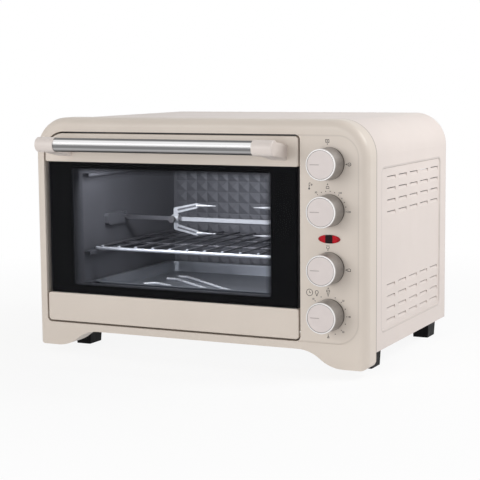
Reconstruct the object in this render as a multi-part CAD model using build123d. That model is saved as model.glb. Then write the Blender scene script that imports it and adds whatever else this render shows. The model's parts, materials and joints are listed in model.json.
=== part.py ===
# Countertop electric oven with a drop-down glass door, four dials, a spit, a wire rack and a tray.
# Millimetres. X to the right, Y to the back, Z up; the origin is on the table, under the middle of the
# whole outline. Depths are counted back from the flat front of the frame, through depth().
from build123d import *
from math import atan2, cos, degrees, sin, sqrt
import os

# Overall
WIDTH = 530.0
BODY_DEPTH = 368.0
HEIGHT = 353.5
SIDE_FLARE = 6.0
TOP_FLARE = 1.5
SHEET = 0.6
CORNER_R = 51.0
SCREW_HEAD_H = 2.0
SCREW_HEAD_D = 7.2
SLIDE_GAP = 0.3
RUN_CLEAR = 0.1
SEAT_CLEAR = 0.02
PAST = 1.0

# Front frame
FRAME_DEPTH = 36.5
FRAME_WALL = 3.0
FRAME_EDGE_R = 13.0
RAIL_Z = 36.0
TOE_Z = 12.0
TOE_W = 35.0
TOE_RUN = 68.0
TOE_CORNER_R = 10.0
REVEAL_WALL = 2.5
REVEAL_DEPTH = 24.0

# Door
DOOR_Z = 49.0
DOOR_TOP_BORDER = 23.0
DOOR_LEFT_BORDER = 19.0
DOOR_RIGHT_BORDER = 101.0
DOOR_GAP = 2.5
DOOR_R = 5.0
DOOR_ARCH_R = 32.0
BAR_T = 14.0
BAR_EASE = 1.5
BAR_CORNER_R = 3.5
TOP_BAR_H = 42.0
BOTTOM_BAR_H = 42.5
GLASS_T = 4.0
GLASS_SET = 2.5
GLASS_SIDE = 3.0
DOOR_BACK_T = 8.0
DOOR_BACK_INSET = 4.0
DOOR_BACK_R = 2.0
WINDOW_SIDE = 44.75
WINDOW_LOW = 14.0
WINDOW_HIGH = 8.0
WINDOW_R = 6.0
PRESSED_T = 1.0
PIVOT_D = 6.0
PIVOT_IN = 6.0
PIVOT_UP = 10.0
PIVOT_SEAT = 16.0
EAR_W = 5.0
EAR_LOW = 9.0
EAR_HIGH = 12.0

# Handle
HANDLE_D = 20.0
HANDLE_WALL = 1.2
HANDLE_REACH = 57.7
HANDLE_LEFT = 19.5
HANDLE_RIGHT = 14.0
HANDLE_DROP = 14.4
SLEEVE_WALL = 1.0
SLEEVE_L = 30.5
SLEEVE_END = 4.0
SLEEVE_R = 1.5
ARM_W = 25.0
ARM_INSET = 2.0
ARM_FALL = 8.0
ARM_THIN = 2.0
ARM_FOOT_H = 23.0
ARM_R = 3.0
ARM_FOOT_R = 4.0
ARM_SCREW_D = 3.2
ARM_SCREW_HOLE_D = 4.0
ARM_SCREW_IN = 14.0
ARM_SCREW_HEAD_D = 8.0
ARM_SCREW_HEAD_L = 2.5
ARM_SCREW_WELL_D = 10.0

# Dials and control panel: heights as shares of the door's height, counted from the door's lower edge
DIAL_NAMES = ("function", "temperature", "heat", "timer")
DIAL_UP = (0.8714, 0.6448, 0.3638, 0.1346)
DIAL_FROM_RIGHT = 55.4
DIAL_L = 32.0
DIAL_BASE_R = 22.2
DIAL_FACE_R = 21.4
DIAL_WALL = 2.2
DIAL_LIFT = 0.7
DIAL_WEB = 6.0
DIAL_HUB_R = 7.0
DIAL_HUB_SHORT = 3.0
DIAL_EASE = 1.0
CAP_MARGIN = 1.7
CAP_T = 2.5
CAP_SINK = 0.5
POINTER_W = 1.0
POINTER_IN = 4.0
POINTER_OUT = 2.0
SHAFT_D = 6.0
SHAFT_SET = 4.5
SHAFT_BACK = 10.0
SHAFT_HOLE_D = 9.0
PANEL_STEP = 0.8
PANEL_MARGIN = 13.0
PANEL_R = 30.0
LENS_UP = 0.5055
LENS_W = 32.0
LENS_H = 11.8
LENS_OUT = 1.2
LENS_FLANGE = 2.0
PLATE_DEPTH = 14.0
PLATE_T = 1.0
PLATE_SIDE = 13.5
PLATE_OVER = 34.0
PLATE_R = 4.0
BOSS_D = 7.0
BOSS_SIDE = 6.0
BOSS_OVER = 28.0

# Controls behind the panel
BUSH_D = 10.0
BUSH_OUT = 6.0
BUSH_IN = 2.0
BORE_OVER = 0.5
SWITCH_W = 34.0
SWITCH_L = 24.0
SWITCH_R = 6.0
BLADE_W = 5.0
BLADE_T = 0.8
BLADE_L = 8.0
BLADE_STEP = 8.0
BLADE_ROW = 10.0
THERMO_W = 44.0
THERMO_H = 24.0
THERMO_FOOT = 3.0
THERMO_R = 3.0
THERMO_D = 38.0
THERMO_L = 20.0
THERMO_BLADE = 9.0
TIMER_W = 48.0
TIMER_L = 26.0
TIMER_R = 5.0
BELL_POST_D = 6.0
BELL_POST_L = 4.0
BELL_D = 44.0
BELL_L = 10.0
BELL_R = 7.0

# Outer shell
SHELL_Z = 28.5
SHELL_LIP = 12.0
LAP = 8.0
PRESS_FRONT = 36.5
PRESS_REAR = 28.0
PRESS_LOW = 24.5
PRESS_HIGH = 67.7
PRESS_IN = 1.8
PRESS_R = 9.0
LOUVRE_FRONT = 26.5
LOUVRE_REAR = 8.5
LOUVRE_HIGH = 15.9
LOUVRE_LOW = 11.8
LOUVRE_L = 35.5
LOUVRE_COUNT = 5
LOUVRE_H = 5.5
LOUVRE_LEAN = 2.2
LOUVRE_SLIT = 1.3
LOUVRE_ROW_COUNT = 4
LOUVRE_ROW = 16.6

# Back and base
VENT_L = 22.0
VENT_H = 4.0
VENT_GAP = 8.0
VENT_ROW = 10.0
VENT_ROWS = 5
VENT_COLS = 9
VENT_PANEL_COLS = 2
VENT_HIGH = 60.0
GLAND_Z = 72.0
GLAND_D = 14.0
GLAND_FLANGE_D = 19.0
GLAND_FLANGE_T = 3.0
GLAND_BORE_D = 8.0
AIR_SLOT_L = 30.0
AIR_SLOT_W = 5.0
AIR_SLOT_COLS = 7
AIR_SLOT_ROWS = 4
AIR_SLOT_MARGIN = 87.0
SCREW_EDGE = 9.0
SCREW_UP = (18.0, 140.0, 255.0)
SCREW_ACROSS = 150.0

# Feet
FOOT_W = 24.0
FOOT_L = 34.0
FOOT_TAPER = 3.0
FOOT_SIDE_INSET = 14.5
FOOT_FRONT = 37.5
FOOT_REAR = 7.0
FOOT_R = 1.5
FOOT_WELL_D = 9.0
FOOT_WELL = 6.0
FOOT_SCREW_D = 7.0
FOOT_SCREW_L = 3.0

# Cavity: set in from the door opening and the back sheet; its upper ledges stand at shares of its height
CAV_LEFT = 35.0
CAV_RIGHT = 14.0
CAV_LOW = 17.0
CAV_HIGH = 12.5
CAV_REAR = 30.0
MOUTH_R = 3.0
LEDGE_UP = (0.331, 0.8016)
LEDGE_OUT = 11.0
LEDGE_T = 1.2
LEDGE_LIP = 5.0
LEDGE_FRONT = 23.4
LEDGE_REAR = 22.0
EMBOSS_SIDE = 5.0
EMBOSS_EDGE = 9.0
EMBOSS_IN = 3.0
EMBOSS_COLS = 18
EMBOSS_ROWS = 13

# Heaters
HEATER_D = 7.0
HEATER_FRONT = 70.4
HEATER_REAR = 98.0
HEATER_HIGH = 16.0
HEATER_LOW = 13.0
HEATER_PIN_D = 3.2
HEATER_TAIL = 14.0
INSULATOR_D = 14.0
INSULATOR_IN = 5.0
INSULATOR_OUT = 9.0
COLLAR = 2.0

# Rack and trays
RACK_SIDE_GAP = 2.8
RACK_FRONT = 18.0
RACK_REAR = 6.0
RACK_WIRE = 5.0
RACK_STAY_D = 4.0
RACK_STAY = 85.0
RACK_CORNER_R = 10.0
RACK_BAR = 3.0
RACK_BAR_END = 0.5
RACK_BAR_SINK = 0.6
RACK_BAR_SIDE = 17.0
RACK_BARS = 12
TRAY_SIDE_GAP = 7.0
TRAY_FRONT = 4.0
TRAY_REAR = 6.0
TRAY_DEPTH = 16.0
TRAY_CLEAR = 3.5
TRAY_T = 0.8
TRAY_RIM = 6.0
TRAY_SLOPE = 5.0
TRAY_R = 16.0
CRUMB_GAP = 6.0
CRUMB_RIM = 4.0
CRUMB_R = 8.0

# Wire tools in the tray: their bends as shares of the tray's floor, across and front to back
TOOL_WIRE = 4.0
GRIP_LINE = ((0.126, 0.585), (0.181, 0.585), (0.665, 0.051), (0.782, 0.051), (0.2, 0.697), (0.145, 0.712))
GRIP_R = 5.0
LIFTER_LINE = ((0.102, 0.318), (0.145, 0.377), (0.249, 0.309), (0.375, 0.123), (0.44, 0.055), (0.502, 0.106))
LIFTER_R = 6.0

# Spit
SPIT_IN = 134.4
SPIT_SIDE = 6.0
SPIT_POINT = 14.0
SPIT_POINT_SIDE = 3.5
SPIT_SHORT = 2.0
SPIT_ROUND_L = 11.0
FORK_IN = (100.0, 59.0)
FORK_HUB_D = 13.0
FORK_HUB_L = 12.0
FORK_STRIP_W = 8.0
FORK_STRIP_T = 2.6
FORK_ROOT = 13.0
FORK_SPREAD = 21.5
FORK_ARM_L = 38.0
FORK_BEND_R = 3.5
FORK_GROOVE_W = 3.0
FORK_GROOVE_T = 0.7
FORK_GROOVE_END = 4.0
TINE_D = 6.0
TINE_L = 32.0
TINE_POINT_D = 1.0
TINE_SINK = 1.0
THUMB_D = 10.0
THUMB_L = 6.0
THUMB_NECK = 5.0
THUMB_SHANK_D = 4.0
SOCKET_D = 15.0
SOCKET_L = 15.0
SOCKET_OUT = 4.0
SOCKET_END = 2.0
MOTOR_D = 50.0
MOTOR_L = 22.0
MOTOR_EAR_L = 70.0
MOTOR_EAR_H = 16.0
MOTOR_EAR_T = 2.0
REST_L = 62.0
REST_H = 18.0
REST_T = 8.0
REST_FRONT = 20.0
REST_R = 5.0
REST_FLOOR = 0.5

# Fan and lamp
GUARD_EDGE = 7.3
GUARD_T = 1.0
GUARD_SLOTS = 16
GUARD_SLOT_W = 5.0
GUARD_HUB = 16.0
GUARD_RIM = 12.0
GUARD_LAP = 5.0
FAN_EDGE = 10.0
FAN_W = 16.0
FAN_T = 1.2
FAN_BLADES = 8
FAN_HUB_R = 8.0
FAN_HUB_SHORT = 4.0
FAN_EYE = 16.0
FAN_SHAFT_D = 6.0
FAN_SHAFT_IN = 12.0
FAN_BACK_GAP = 5.0
FAN_CUP_L = 25.0
FAN_MOTOR_D = 58.0
FAN_MOTOR_L = 34.0
FAN_NOSE_D = 42.0
FAN_NOSE_L = 3.0
LAMP_IN = 67.4
LAMP_BELOW = 28.0
LAMP_R = 19.0
LAMP_OUT = 12.0
LAMP_FLANGE = 2.5
LAMP_EDGE = 4.0
LAMP_DOME_R = 7.0
LAMP_HOLDER_L = 22.0
LAMP_WELL = 3.0
LAMP_PLATE = 2.0

# Worked out from the driving sizes
OVERALL_DEPTH = HANDLE_REACH + BODY_DEPTH + SCREW_HEAD_H
FRONT_Y = HANDLE_REACH - OVERALL_DEPTH / 2
HALF_W = WIDTH / 2
SHELL_X = HALF_W - SIDE_FLARE
SHELL_TOP = HEIGHT - TOP_FLARE
SHELL_R = CORNER_R - TOP_FLARE
SHELL_D1 = BODY_DEPTH - SHEET
DOOR_X0 = DOOR_LEFT_BORDER - HALF_W
DOOR_X1 = HALF_W - DOOR_RIGHT_BORDER
HANDLE_X = (DOOR_X0 + HANDLE_LEFT + DOOR_X1 - HANDLE_RIGHT) / 2
HANDLE_HALF = DOOR_X1 - HANDLE_RIGHT - HANDLE_X
DOOR_TOP = HEIGHT - DOOR_TOP_BORDER
DOOR_H = DOOR_TOP - DOOR_Z
GLASS_Z0 = DOOR_Z + BOTTOM_BAR_H
GLASS_Z1 = DOOR_TOP - TOP_BAR_H
DOOR_T = BAR_T + DOOR_BACK_T
PIVOT_Z = DOOR_Z + PIVOT_UP
HANDLE_Z = DOOR_TOP - HANDLE_DROP
ARM_Z = HANDLE_Z - ARM_FALL
HANDLE_AXIS = HANDLE_D / 2 + SLEEVE_WALL - HANDLE_REACH
DIAL_X = HALF_W - DIAL_FROM_RIGHT
DIAL_Z = tuple(DOOR_Z + up * DOOR_H for up in DIAL_UP)
DIAL_BACK = PANEL_STEP - DIAL_LIFT
DIAL_FRONT = DIAL_BACK - DIAL_L
CAP_R = DIAL_FACE_R - CAP_MARGIN
LENS_Z = DOOR_Z + LENS_UP * DOOR_H
CONTROL_D = PLATE_DEPTH + PLATE_T
PRESS_D0 = FRAME_DEPTH + PRESS_FRONT
PRESS_D1 = BODY_DEPTH - PRESS_REAR
PRESS_Z0 = SHELL_Z + PRESS_LOW
PRESS_Z1 = SHELL_TOP - PRESS_HIGH
LOUVRE_D0 = PRESS_D0 + LOUVRE_FRONT
LOUVRE_PITCH = (PRESS_D1 - LOUVRE_REAR - LOUVRE_L - LOUVRE_D0) / (LOUVRE_COUNT - 1)
CAV_X0 = DOOR_X0 + CAV_LEFT
CAV_X1 = DOOR_X1 - CAV_RIGHT
CAV_Z0 = DOOR_Z + CAV_LOW
CAV_Z1 = DOOR_TOP - CAV_HIGH
CAV_D0 = REVEAL_DEPTH + SHEET
CAV_D1 = BODY_DEPTH - CAV_REAR
LEDGE_D0 = CAV_D0 + LEDGE_FRONT
LEDGE_D1 = CAV_D1 - LEDGE_REAR
HEATER_DEPTHS = (CAV_D0 + HEATER_FRONT, CAV_D1 - HEATER_REAR)
HEATER_UP_Z = CAV_Z1 - HEATER_HIGH
HEATER_LOW_Z = CAV_Z0 + HEATER_LOW
TRAY_RIM_Z = HEATER_LOW_Z + HEATER_D / 2 + TRAY_CLEAR + TRAY_DEPTH
LEDGE_Z = (TRAY_RIM_Z - SLIDE_GAP,) + tuple(CAV_Z0 + up * (CAV_Z1 - CAV_Z0) for up in LEDGE_UP)
RACK_X0 = CAV_X0 + RACK_SIDE_GAP
RACK_X1 = CAV_X1 - RACK_SIDE_GAP
RACK_D0 = LEDGE_D0 + RACK_FRONT
RACK_D1 = LEDGE_D1 - RACK_REAR
TRAY_X0 = CAV_X0 + TRAY_SIDE_GAP
TRAY_X1 = CAV_X1 - TRAY_SIDE_GAP
TRAY_D0 = LEDGE_D0 + TRAY_FRONT
TRAY_D1 = LEDGE_D1 - TRAY_REAR
SPIT_DEPTH = CAV_D0 + SPIT_IN
SPIT_Z = (CAV_Z0 + CAV_Z1) / 2
FORK_HUB_X = (CAV_X0 + FORK_IN[0], CAV_X1 - FORK_IN[1])
FAN_DEPTH = (SPIT_DEPTH + MOTOR_EAR_L / 2 + CAV_D1) / 2
FAN_Z = (LEDGE_Z[1] + LEDGE_Z[2]) / 2
GUARD_R = (LEDGE_Z[2] - LEDGE_Z[1]) / 2 - GUARD_EDGE
FAN_R = GUARD_R - FAN_EDGE
FAN_BACK_X = CAV_X1 + SHEET + FAN_CUP_L - FAN_BACK_GAP
LAMP_DEPTH = CAV_D0 + LAMP_IN
LAMP_Z = LEDGE_Z[2] - LAMP_BELOW


def depth(d):
    """Y of a depth counted back from the flat front."""
    return FRONT_Y + d


def block(x0, x1, d0, d1, z0, z1):
    """A box between two corners, its Y given as depths."""
    middle = Pos((x0 + x1) / 2, depth((d0 + d1) / 2), (z0 + z1) / 2)
    return middle * Box(abs(x1 - x0), abs(d1 - d0), abs(z1 - z0))


def rod_x(x0, x1, d, z, radius):
    return Pos((x0 + x1) / 2, depth(d), z) * Rot(0, 90, 0) * Cylinder(radius, abs(x1 - x0))


def rod_y(x, d0, d1, z, radius):
    return Pos(x, depth((d0 + d1) / 2), z) * Rot(90, 0, 0) * Cylinder(radius, abs(d1 - d0))


def rod_z(x, d, z0, z1, radius):
    return Pos(x, depth(d), (z0 + z1) / 2) * Cylinder(radius, abs(z1 - z0))


def front_slab(sketch, d0, d1):
    """A front-view sketch (x, z) given its thickness from depth d0 to d1."""
    plane = Plane((0, depth(d1), 0), x_dir=(1, 0, 0), z_dir=(0, -1, 0))
    return extrude(plane * sketch, amount=d1 - d0)


def side_slab(sketch, x0, x1):
    """A side-view sketch (depth, z) given its thickness from x0 to x1."""
    plane = Plane((x0, FRONT_Y, 0), x_dir=(0, 1, 0), z_dir=(1, 0, 0))
    return extrude(plane * sketch, amount=x1 - x0)


def side_face(sketch, x):
    """A sketch (depth, z) stood upright at x."""
    return Plane((x, FRONT_Y, 0), x_dir=(0, 1, 0), z_dir=(1, 0, 0)) * sketch


def top_slab(sketch, z0, z1):
    """A plan sketch (x, depth) given its thickness from z0 to z1."""
    return extrude(Plane((0, FRONT_Y, z0)) * sketch, amount=z1 - z0)


def rounded(x0, x1, y0, y1, radius):
    return Pos((x0 + x1) / 2, (y0 + y1) / 2) * RectangleRounded(x1 - x0, y1 - y0, radius)


def front_edges(solid):
    return solid.faces().sort_by(Axis.Y)[0].edges()


def rear_edges(solid):
    return solid.faces().sort_by(Axis.Y)[-1].edges()


def group(solids):
    return Compound(children=list(solids))


def spread(first, last, count):
    """Evenly spaced values from first to last."""
    return [first + (last - first) * i / (count - 1) for i in range(count)]


# Front frame and what is fixed to it
def frame_outline():
    """Round-topped outline whose lower rail runs into two toes through S-curves."""
    half_turn = atan2(RAIL_Z - TOE_Z, TOE_RUN)
    s_radius = TOE_RUN / 2 / sin(2 * half_turn)
    reach = s_radius * sin(half_turn) / cos(half_turn)
    toe_x = HALF_W - TOE_W - reach
    rail_x = HALF_W - TOE_W - TOE_RUN + reach
    soft = s_radius * 0.995
    right = [(rail_x, RAIL_Z, soft), (toe_x, TOE_Z, soft), (HALF_W, TOE_Z, TOE_CORNER_R),
             (HALF_W, HEIGHT, CORNER_R)]
    left = [(-x, z, r) for x, z, r in reversed(right)]
    corners = right + left
    line = FilletPolyline(*[(x, z) for x, z, r in corners], radius=[r for x, z, r in corners], close=True)
    return make_face(line)


def door_face(x0, x1, z0, z1, low_r, high_r, arch_r):
    """Rectangle with round corners; the upper left one can follow the frame's arch."""
    corners = ((x0, z0, low_r), (x1, z0, low_r), (x1, z1, high_r), (x0, z1, arch_r))
    line = FilletPolyline(*[(x, z) for x, z, r in corners], radius=[r for x, z, r in corners], close=True)
    return make_face(line)


def door_opening(grow=0.0):
    edge = DOOR_GAP + grow
    radius = DOOR_R + edge
    return door_face(DOOR_X0 - edge, DOOR_X1 + edge, DOOR_Z - edge, DOOR_TOP + edge, radius, radius,
                     DOOR_ARCH_R + edge)


def lens_ellipse(grow=0.0):
    return Pos(DIAL_X, LENS_Z) * Ellipse(LENS_W / 2 + grow, LENS_H / 2 + grow)


def panel_step():
    """The shallow pressed field that the dials stand in."""
    edge = HALF_W - PANEL_MARGIN
    field = Polyline((DOOR_X1, DOOR_Z - DOOR_GAP), (edge, DOOR_Z - DOOR_GAP), (edge, DOOR_TOP + DOOR_GAP),
                     (DOOR_X1, DOOR_TOP + DOOR_GAP), close=True)
    face = make_face(field)
    outer = face.vertices().sort_by(Axis.X)[-2:]
    return front_slab(fillet(outer, PANEL_R), -FRAME_WALL, PANEL_STEP)


def plate_span():
    """X of the two sides of the plate that carries the controls."""
    return DOOR_X1 + PLATE_SIDE, HALF_W - PLATE_SIDE


def plate_bosses():
    x0, x1 = plate_span()
    middle = (DIAL_Z[1] + DIAL_Z[2]) / 2
    return [(x, z) for x in (x0 + BOSS_SIDE, x1 - BOSS_SIDE)
            for z in (DIAL_Z[0] + BOSS_OVER, middle, DIAL_Z[3] - BOSS_OVER)]


def frame_arch(inset, d1):
    """Block under the frame's round top, its front edge eased; the toes are cut out of it."""
    half, top = HALF_W - inset, HEIGHT - inset
    face = make_face(Polyline((-half, -PAST), (half, -PAST), (half, top), (-half, top), close=True))
    arch = front_slab(fillet(face.vertices().sort_by(Axis.Y)[-2:], CORNER_R - inset), inset, d1)
    eased = front_edges(arch).sort_by(Axis.Z)[1:]
    return fillet(eased, FRAME_EDGE_R - inset)


def make_front_frame():
    outline = frame_outline()
    skin = frame_arch(0, FRAME_DEPTH) & front_slab(outline, 0, FRAME_DEPTH)
    inside = front_slab(offset(outline, -FRAME_WALL), FRAME_WALL, FRAME_DEPTH + PAST)
    body = skin - (frame_arch(FRAME_WALL, FRAME_DEPTH + PAST) & inside)
    body += front_slab(door_opening(REVEAL_WALL), FRAME_WALL / 2, REVEAL_DEPTH)
    body -= front_slab(door_opening(), -PAST, FRAME_DEPTH)
    body -= panel_step()
    for x, z in plate_bosses():
        body += rod_y(x, FRAME_WALL / 2, PLATE_DEPTH, z, BOSS_D / 2)
    body -= [rod_y(DIAL_X, -PAST, FRAME_WALL + PAST, z, SHAFT_HOLE_D / 2) for z in DIAL_Z]
    body -= front_slab(lens_ellipse(), -PAST, FRAME_WALL + PAST)
    stick_out = 2 * EAR_W
    body -= rod_x(DOOR_X0 - stick_out, DOOR_X1 + stick_out, PIVOT_IN, PIVOT_Z, PIVOT_D / 2 + RUN_CLEAR)
    return body


def make_lens():
    """Domed pilot lens, its flange behind the panel."""
    lens = front_slab(lens_ellipse(), -LENS_OUT, FRAME_WALL)
    lens = fillet(front_edges(lens), LENS_OUT)
    return lens + front_slab(lens_ellipse(LENS_FLANGE), FRAME_WALL, FRAME_WALL + LENS_FLANGE)


def make_hinge_blocks():
    """Bearing blocks behind the frame's reveal, one at each lower corner of the door."""
    reveal = DOOR_GAP + REVEAL_WALL
    pair = []
    for x0 in (DOOR_X0 - reveal - EAR_W, DOOR_X1 + reveal):
        x1 = x0 + EAR_W
        ear = block(x0, x1, FRAME_WALL + PAST, REVEAL_DEPTH, PIVOT_Z - EAR_LOW, PIVOT_Z + EAR_HIGH)
        ear -= rod_x(x0 - PAST, x1 + PAST, PIVOT_IN, PIVOT_Z, PIVOT_D / 2 + RUN_CLEAR)
        pair.append(ear)
    return group(pair)


# Door
def make_bar(z0, z1, low_r, high_r, arch_r):
    """One cream bar of the door, its front edges eased."""
    face = door_face(DOOR_X0, DOOR_X1, z0, z1, low_r, high_r, arch_r)
    return fillet(front_edges(front_slab(face, 0, BAR_T)), BAR_EASE)


def pivot_ends():
    """X stretches of the two pivot pins, from inside the bar to the outside of the bearing block."""
    stick_out = DOOR_GAP + REVEAL_WALL + EAR_W
    return ((DOOR_X0 - stick_out, DOOR_X0 + PIVOT_SEAT), (DOOR_X1 - PIVOT_SEAT, DOOR_X1 + stick_out))


def make_bottom_bar():
    bar = make_bar(DOOR_Z, GLASS_Z0, DOOR_R, BAR_CORNER_R, BAR_CORNER_R)
    for x0, x1 in pivot_ends():
        bar -= rod_x(x0, x1, PIVOT_IN, PIVOT_Z, PIVOT_D / 2 + SEAT_CLEAR)
    return bar


def handle_feet():
    """X middle of each handle arm."""
    return [HANDLE_X + side * (HANDLE_HALF - ARM_INSET - ARM_W / 2) for side in (-1, 1)]


def make_top_bar():
    bar = make_bar(GLASS_Z1, DOOR_TOP, BAR_CORNER_R, DOOR_R, DOOR_ARCH_R)
    for x in handle_feet():
        bar -= rod_y(x, -PAST, BAR_T + PAST, ARM_Z, ARM_SCREW_HOLE_D / 2)
    return bar


def make_glass():
    x0, x1 = DOOR_X0 + GLASS_SIDE, DOOR_X1 - GLASS_SIDE
    return block(x0, x1, GLASS_SET, GLASS_SET + GLASS_T, GLASS_Z0, GLASS_Z1)


def door_window(grow=0.0):
    side = WINDOW_SIDE - grow
    z0, z1 = GLASS_Z0 + WINDOW_LOW - grow, GLASS_Z1 - WINDOW_HIGH + grow
    return rounded(DOOR_X0 + side, DOOR_X1 - side, z0, z1, WINDOW_R + grow)


def make_door_back():
    """Pressed inner frame: a sheet pan behind the two bars, its walls reaching forward to the glass."""
    x0, x1 = DOOR_X0 + DOOR_BACK_INSET, DOOR_X1 - DOOR_BACK_INSET
    z0, z1 = PIVOT_Z + DOOR_BACK_INSET, DOOR_TOP - DOOR_BACK_INSET
    arch_r = DOOR_ARCH_R - DOOR_BACK_INSET
    pan = front_slab(door_face(x0, x1, z0, z1, DOOR_R, DOOR_R, arch_r), BAR_T, DOOR_T)
    pan = fillet(rear_edges(pan), DOOR_BACK_R)
    pan += block(x0, x1, GLASS_SET + GLASS_T, BAR_T, GLASS_Z0, GLASS_Z1)
    t = PRESSED_T
    inner = door_face(x0 + t, x1 - t, z0 + t, z1 - t, DOOR_R - t, DOOR_R - t, arch_r - t)
    ring = pan - front_slab(inner - door_window(t), 0, DOOR_T - t)
    ring -= front_slab(door_window(), 0, DOOR_T + PAST)
    for x in handle_feet():
        ring -= rod_y(x, BAR_T - PAST, DOOR_T + PAST, ARM_Z, ARM_SCREW_WELL_D / 2)
    return ring


def make_handle_tube():
    reach = HANDLE_HALF - SLEEVE_END
    tube = rod_x(HANDLE_X - reach, HANDLE_X + reach, HANDLE_AXIS, HANDLE_Z, HANDLE_D / 2)
    reach += PAST
    return tube - rod_x(HANDLE_X - reach, HANDLE_X + reach, HANDLE_AXIS, HANDLE_Z, HANDLE_D / 2 - HANDLE_WALL)


def make_handle_arm(side):
    """Moulded end: a sleeve round the tube, and an arm that falls to its foot on the door."""
    sleeve_r = HANDLE_D / 2 + SLEEVE_WALL
    outer = HANDLE_HALF
    sleeve = rod_x(outer - SLEEVE_L, outer, HANDLE_AXIS, HANDLE_Z, sleeve_r)
    sleeve = fillet(sleeve.faces().sort_by(Axis.X)[-1].edges(), SLEEVE_R)
    arm_x = outer - ARM_INSET - ARM_W / 2
    near = Plane((arm_x, depth(HANDLE_AXIS), HANDLE_Z), x_dir=(1, 0, 0), z_dir=(0, 1, 0))
    far = Plane((arm_x, depth(0), ARM_Z), x_dir=(1, 0, 0), z_dir=(0, 1, 0))
    whole = sleeve + loft([near * RectangleRounded(ARM_W, 2 * sleeve_r - ARM_THIN, ARM_R),
                           far * RectangleRounded(ARM_W, ARM_FOOT_H, ARM_FOOT_R)])
    whole -= rod_x(outer - SLEEVE_L - PAST, outer - SLEEVE_END, HANDLE_AXIS, HANDLE_Z, HANDLE_D / 2)
    whole -= rod_y(arm_x, -ARM_SCREW_IN, PAST, ARM_Z, ARM_SCREW_D / 2)
    whole = Pos(HANDLE_X, 0, 0) * whole
    return whole if side > 0 else mirror(whole, Plane.YZ.offset(HANDLE_X))


def make_door_screws():
    """Screws from inside the door into the two handle arms."""
    screws = []
    for x in handle_feet():
        shank = rod_y(x, -ARM_SCREW_IN, BAR_T, ARM_Z, ARM_SCREW_D / 2)
        screws.append(shank + rod_y(x, BAR_T, BAR_T + ARM_SCREW_HEAD_L, ARM_Z, ARM_SCREW_HEAD_D / 2))
    return group(screws)


def make_pivots():
    return group([rod_x(x0, x1, PIVOT_IN, PIVOT_Z, PIVOT_D / 2) for x0, x1 in pivot_ends()])


# Dials
def make_dial(z):
    """Hollow tapering skirt with a hub for the shaft and a pocket for the cap."""
    front, back = DIAL_FRONT, DIAL_BACK
    hub_back = back - DIAL_HUB_SHORT
    line = Polyline((0, front + SHAFT_SET), (0, front + CAP_T), (CAP_R, front + CAP_T), (CAP_R, front),
                    (DIAL_FACE_R - DIAL_EASE, front), (DIAL_FACE_R, front + DIAL_EASE), (DIAL_BASE_R, back),
                    (DIAL_BASE_R - DIAL_WALL, back), (DIAL_FACE_R - DIAL_WALL, front + DIAL_WEB),
                    (DIAL_HUB_R, front + DIAL_WEB), (DIAL_HUB_R, hub_back), (SHAFT_D / 2, hub_back),
                    (SHAFT_D / 2, front + SHAFT_SET), close=True)
    plane = Plane((DIAL_X, FRONT_Y, z), x_dir=(1, 0, 0), z_dir=(0, 0, 1))
    return revolve(plane * make_face(line), Axis((DIAL_X, FRONT_Y, z), (0, 1, 0)), 360)


def make_dial_cap(z):
    """Disc in the dial's face, with the pointer line cut into it, turned to the left at rest."""
    disc = rod_y(DIAL_X, DIAL_FRONT + CAP_SINK, DIAL_FRONT + CAP_T, z, CAP_R)
    x0, x1 = DIAL_X - CAP_R + POINTER_IN, DIAL_X - POINTER_OUT
    d0, d1 = DIAL_FRONT, DIAL_FRONT + 2 * CAP_SINK
    return disc - block(x0, x1, d0, d1, z - POINTER_W / 2, z + POINTER_W / 2)


def make_shaft(z):
    return rod_y(DIAL_X, DIAL_FRONT + SHAFT_SET, PLATE_DEPTH + SHAFT_BACK, z, SHAFT_D / 2)


# Controls behind the panel
def make_control_plate():
    x0, x1 = plate_span()
    sheet = rounded(x0, x1, DIAL_Z[3] - PLATE_OVER, DIAL_Z[0] + PLATE_OVER, PLATE_R)
    plate = front_slab(sheet, PLATE_DEPTH, CONTROL_D)
    plate -= [rod_y(DIAL_X, PLATE_DEPTH - PAST, CONTROL_D + PAST, z, BUSH_D / 2) for z in DIAL_Z]
    plate -= front_slab(lens_ellipse(-PAST), PLATE_DEPTH - PAST, CONTROL_D + PAST)
    return plate


def control_square(z, across, tall, radius, length):
    """The flat-fronted body of a control, centred on its spindle."""
    outline = rounded(DIAL_X - across / 2, DIAL_X + across / 2, z - tall / 2, z + tall / 2, radius)
    return front_slab(outline, CONTROL_D, CONTROL_D + length)


def with_bush(solid, z):
    """Adds the threaded bush that passes the plate, and bores it for the spindle."""
    solid += rod_y(DIAL_X, PLATE_DEPTH - BUSH_OUT, PLATE_DEPTH + BUSH_IN, z, BUSH_D / 2)
    bore_end = PLATE_DEPTH + SHAFT_BACK + BORE_OVER
    return solid - rod_y(DIAL_X, PLATE_DEPTH - BUSH_OUT - PAST, bore_end, z, SHAFT_D / 2 + RUN_CLEAR)


def blade(x, d0, z):
    """A flat connector standing out of the back of a control."""
    return block(x - BLADE_T / 2, x + BLADE_T / 2, d0, d0 + BLADE_L, z - BLADE_W / 2, z + BLADE_W / 2)


def make_rotary_switch(z):
    body = control_square(z, SWITCH_W, SWITCH_W, SWITCH_R, SWITCH_L)
    for row in (-1, 0, 1):
        for col in (-1.5, -0.5, 0.5, 1.5):
            body += blade(DIAL_X + col * BLADE_STEP, CONTROL_D + SWITCH_L, z + row * BLADE_ROW)
    return with_bush(body, z)


def make_thermostat(z):
    body = control_square(z, THERMO_W, THERMO_H, THERMO_R, THERMO_FOOT)
    body += rod_y(DIAL_X, CONTROL_D, CONTROL_D + THERMO_L, z, THERMO_D / 2)
    for side in (-1, 1):
        body += blade(DIAL_X + side * THERMO_BLADE, CONTROL_D + THERMO_L, z)
    return with_bush(body, z)


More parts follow.
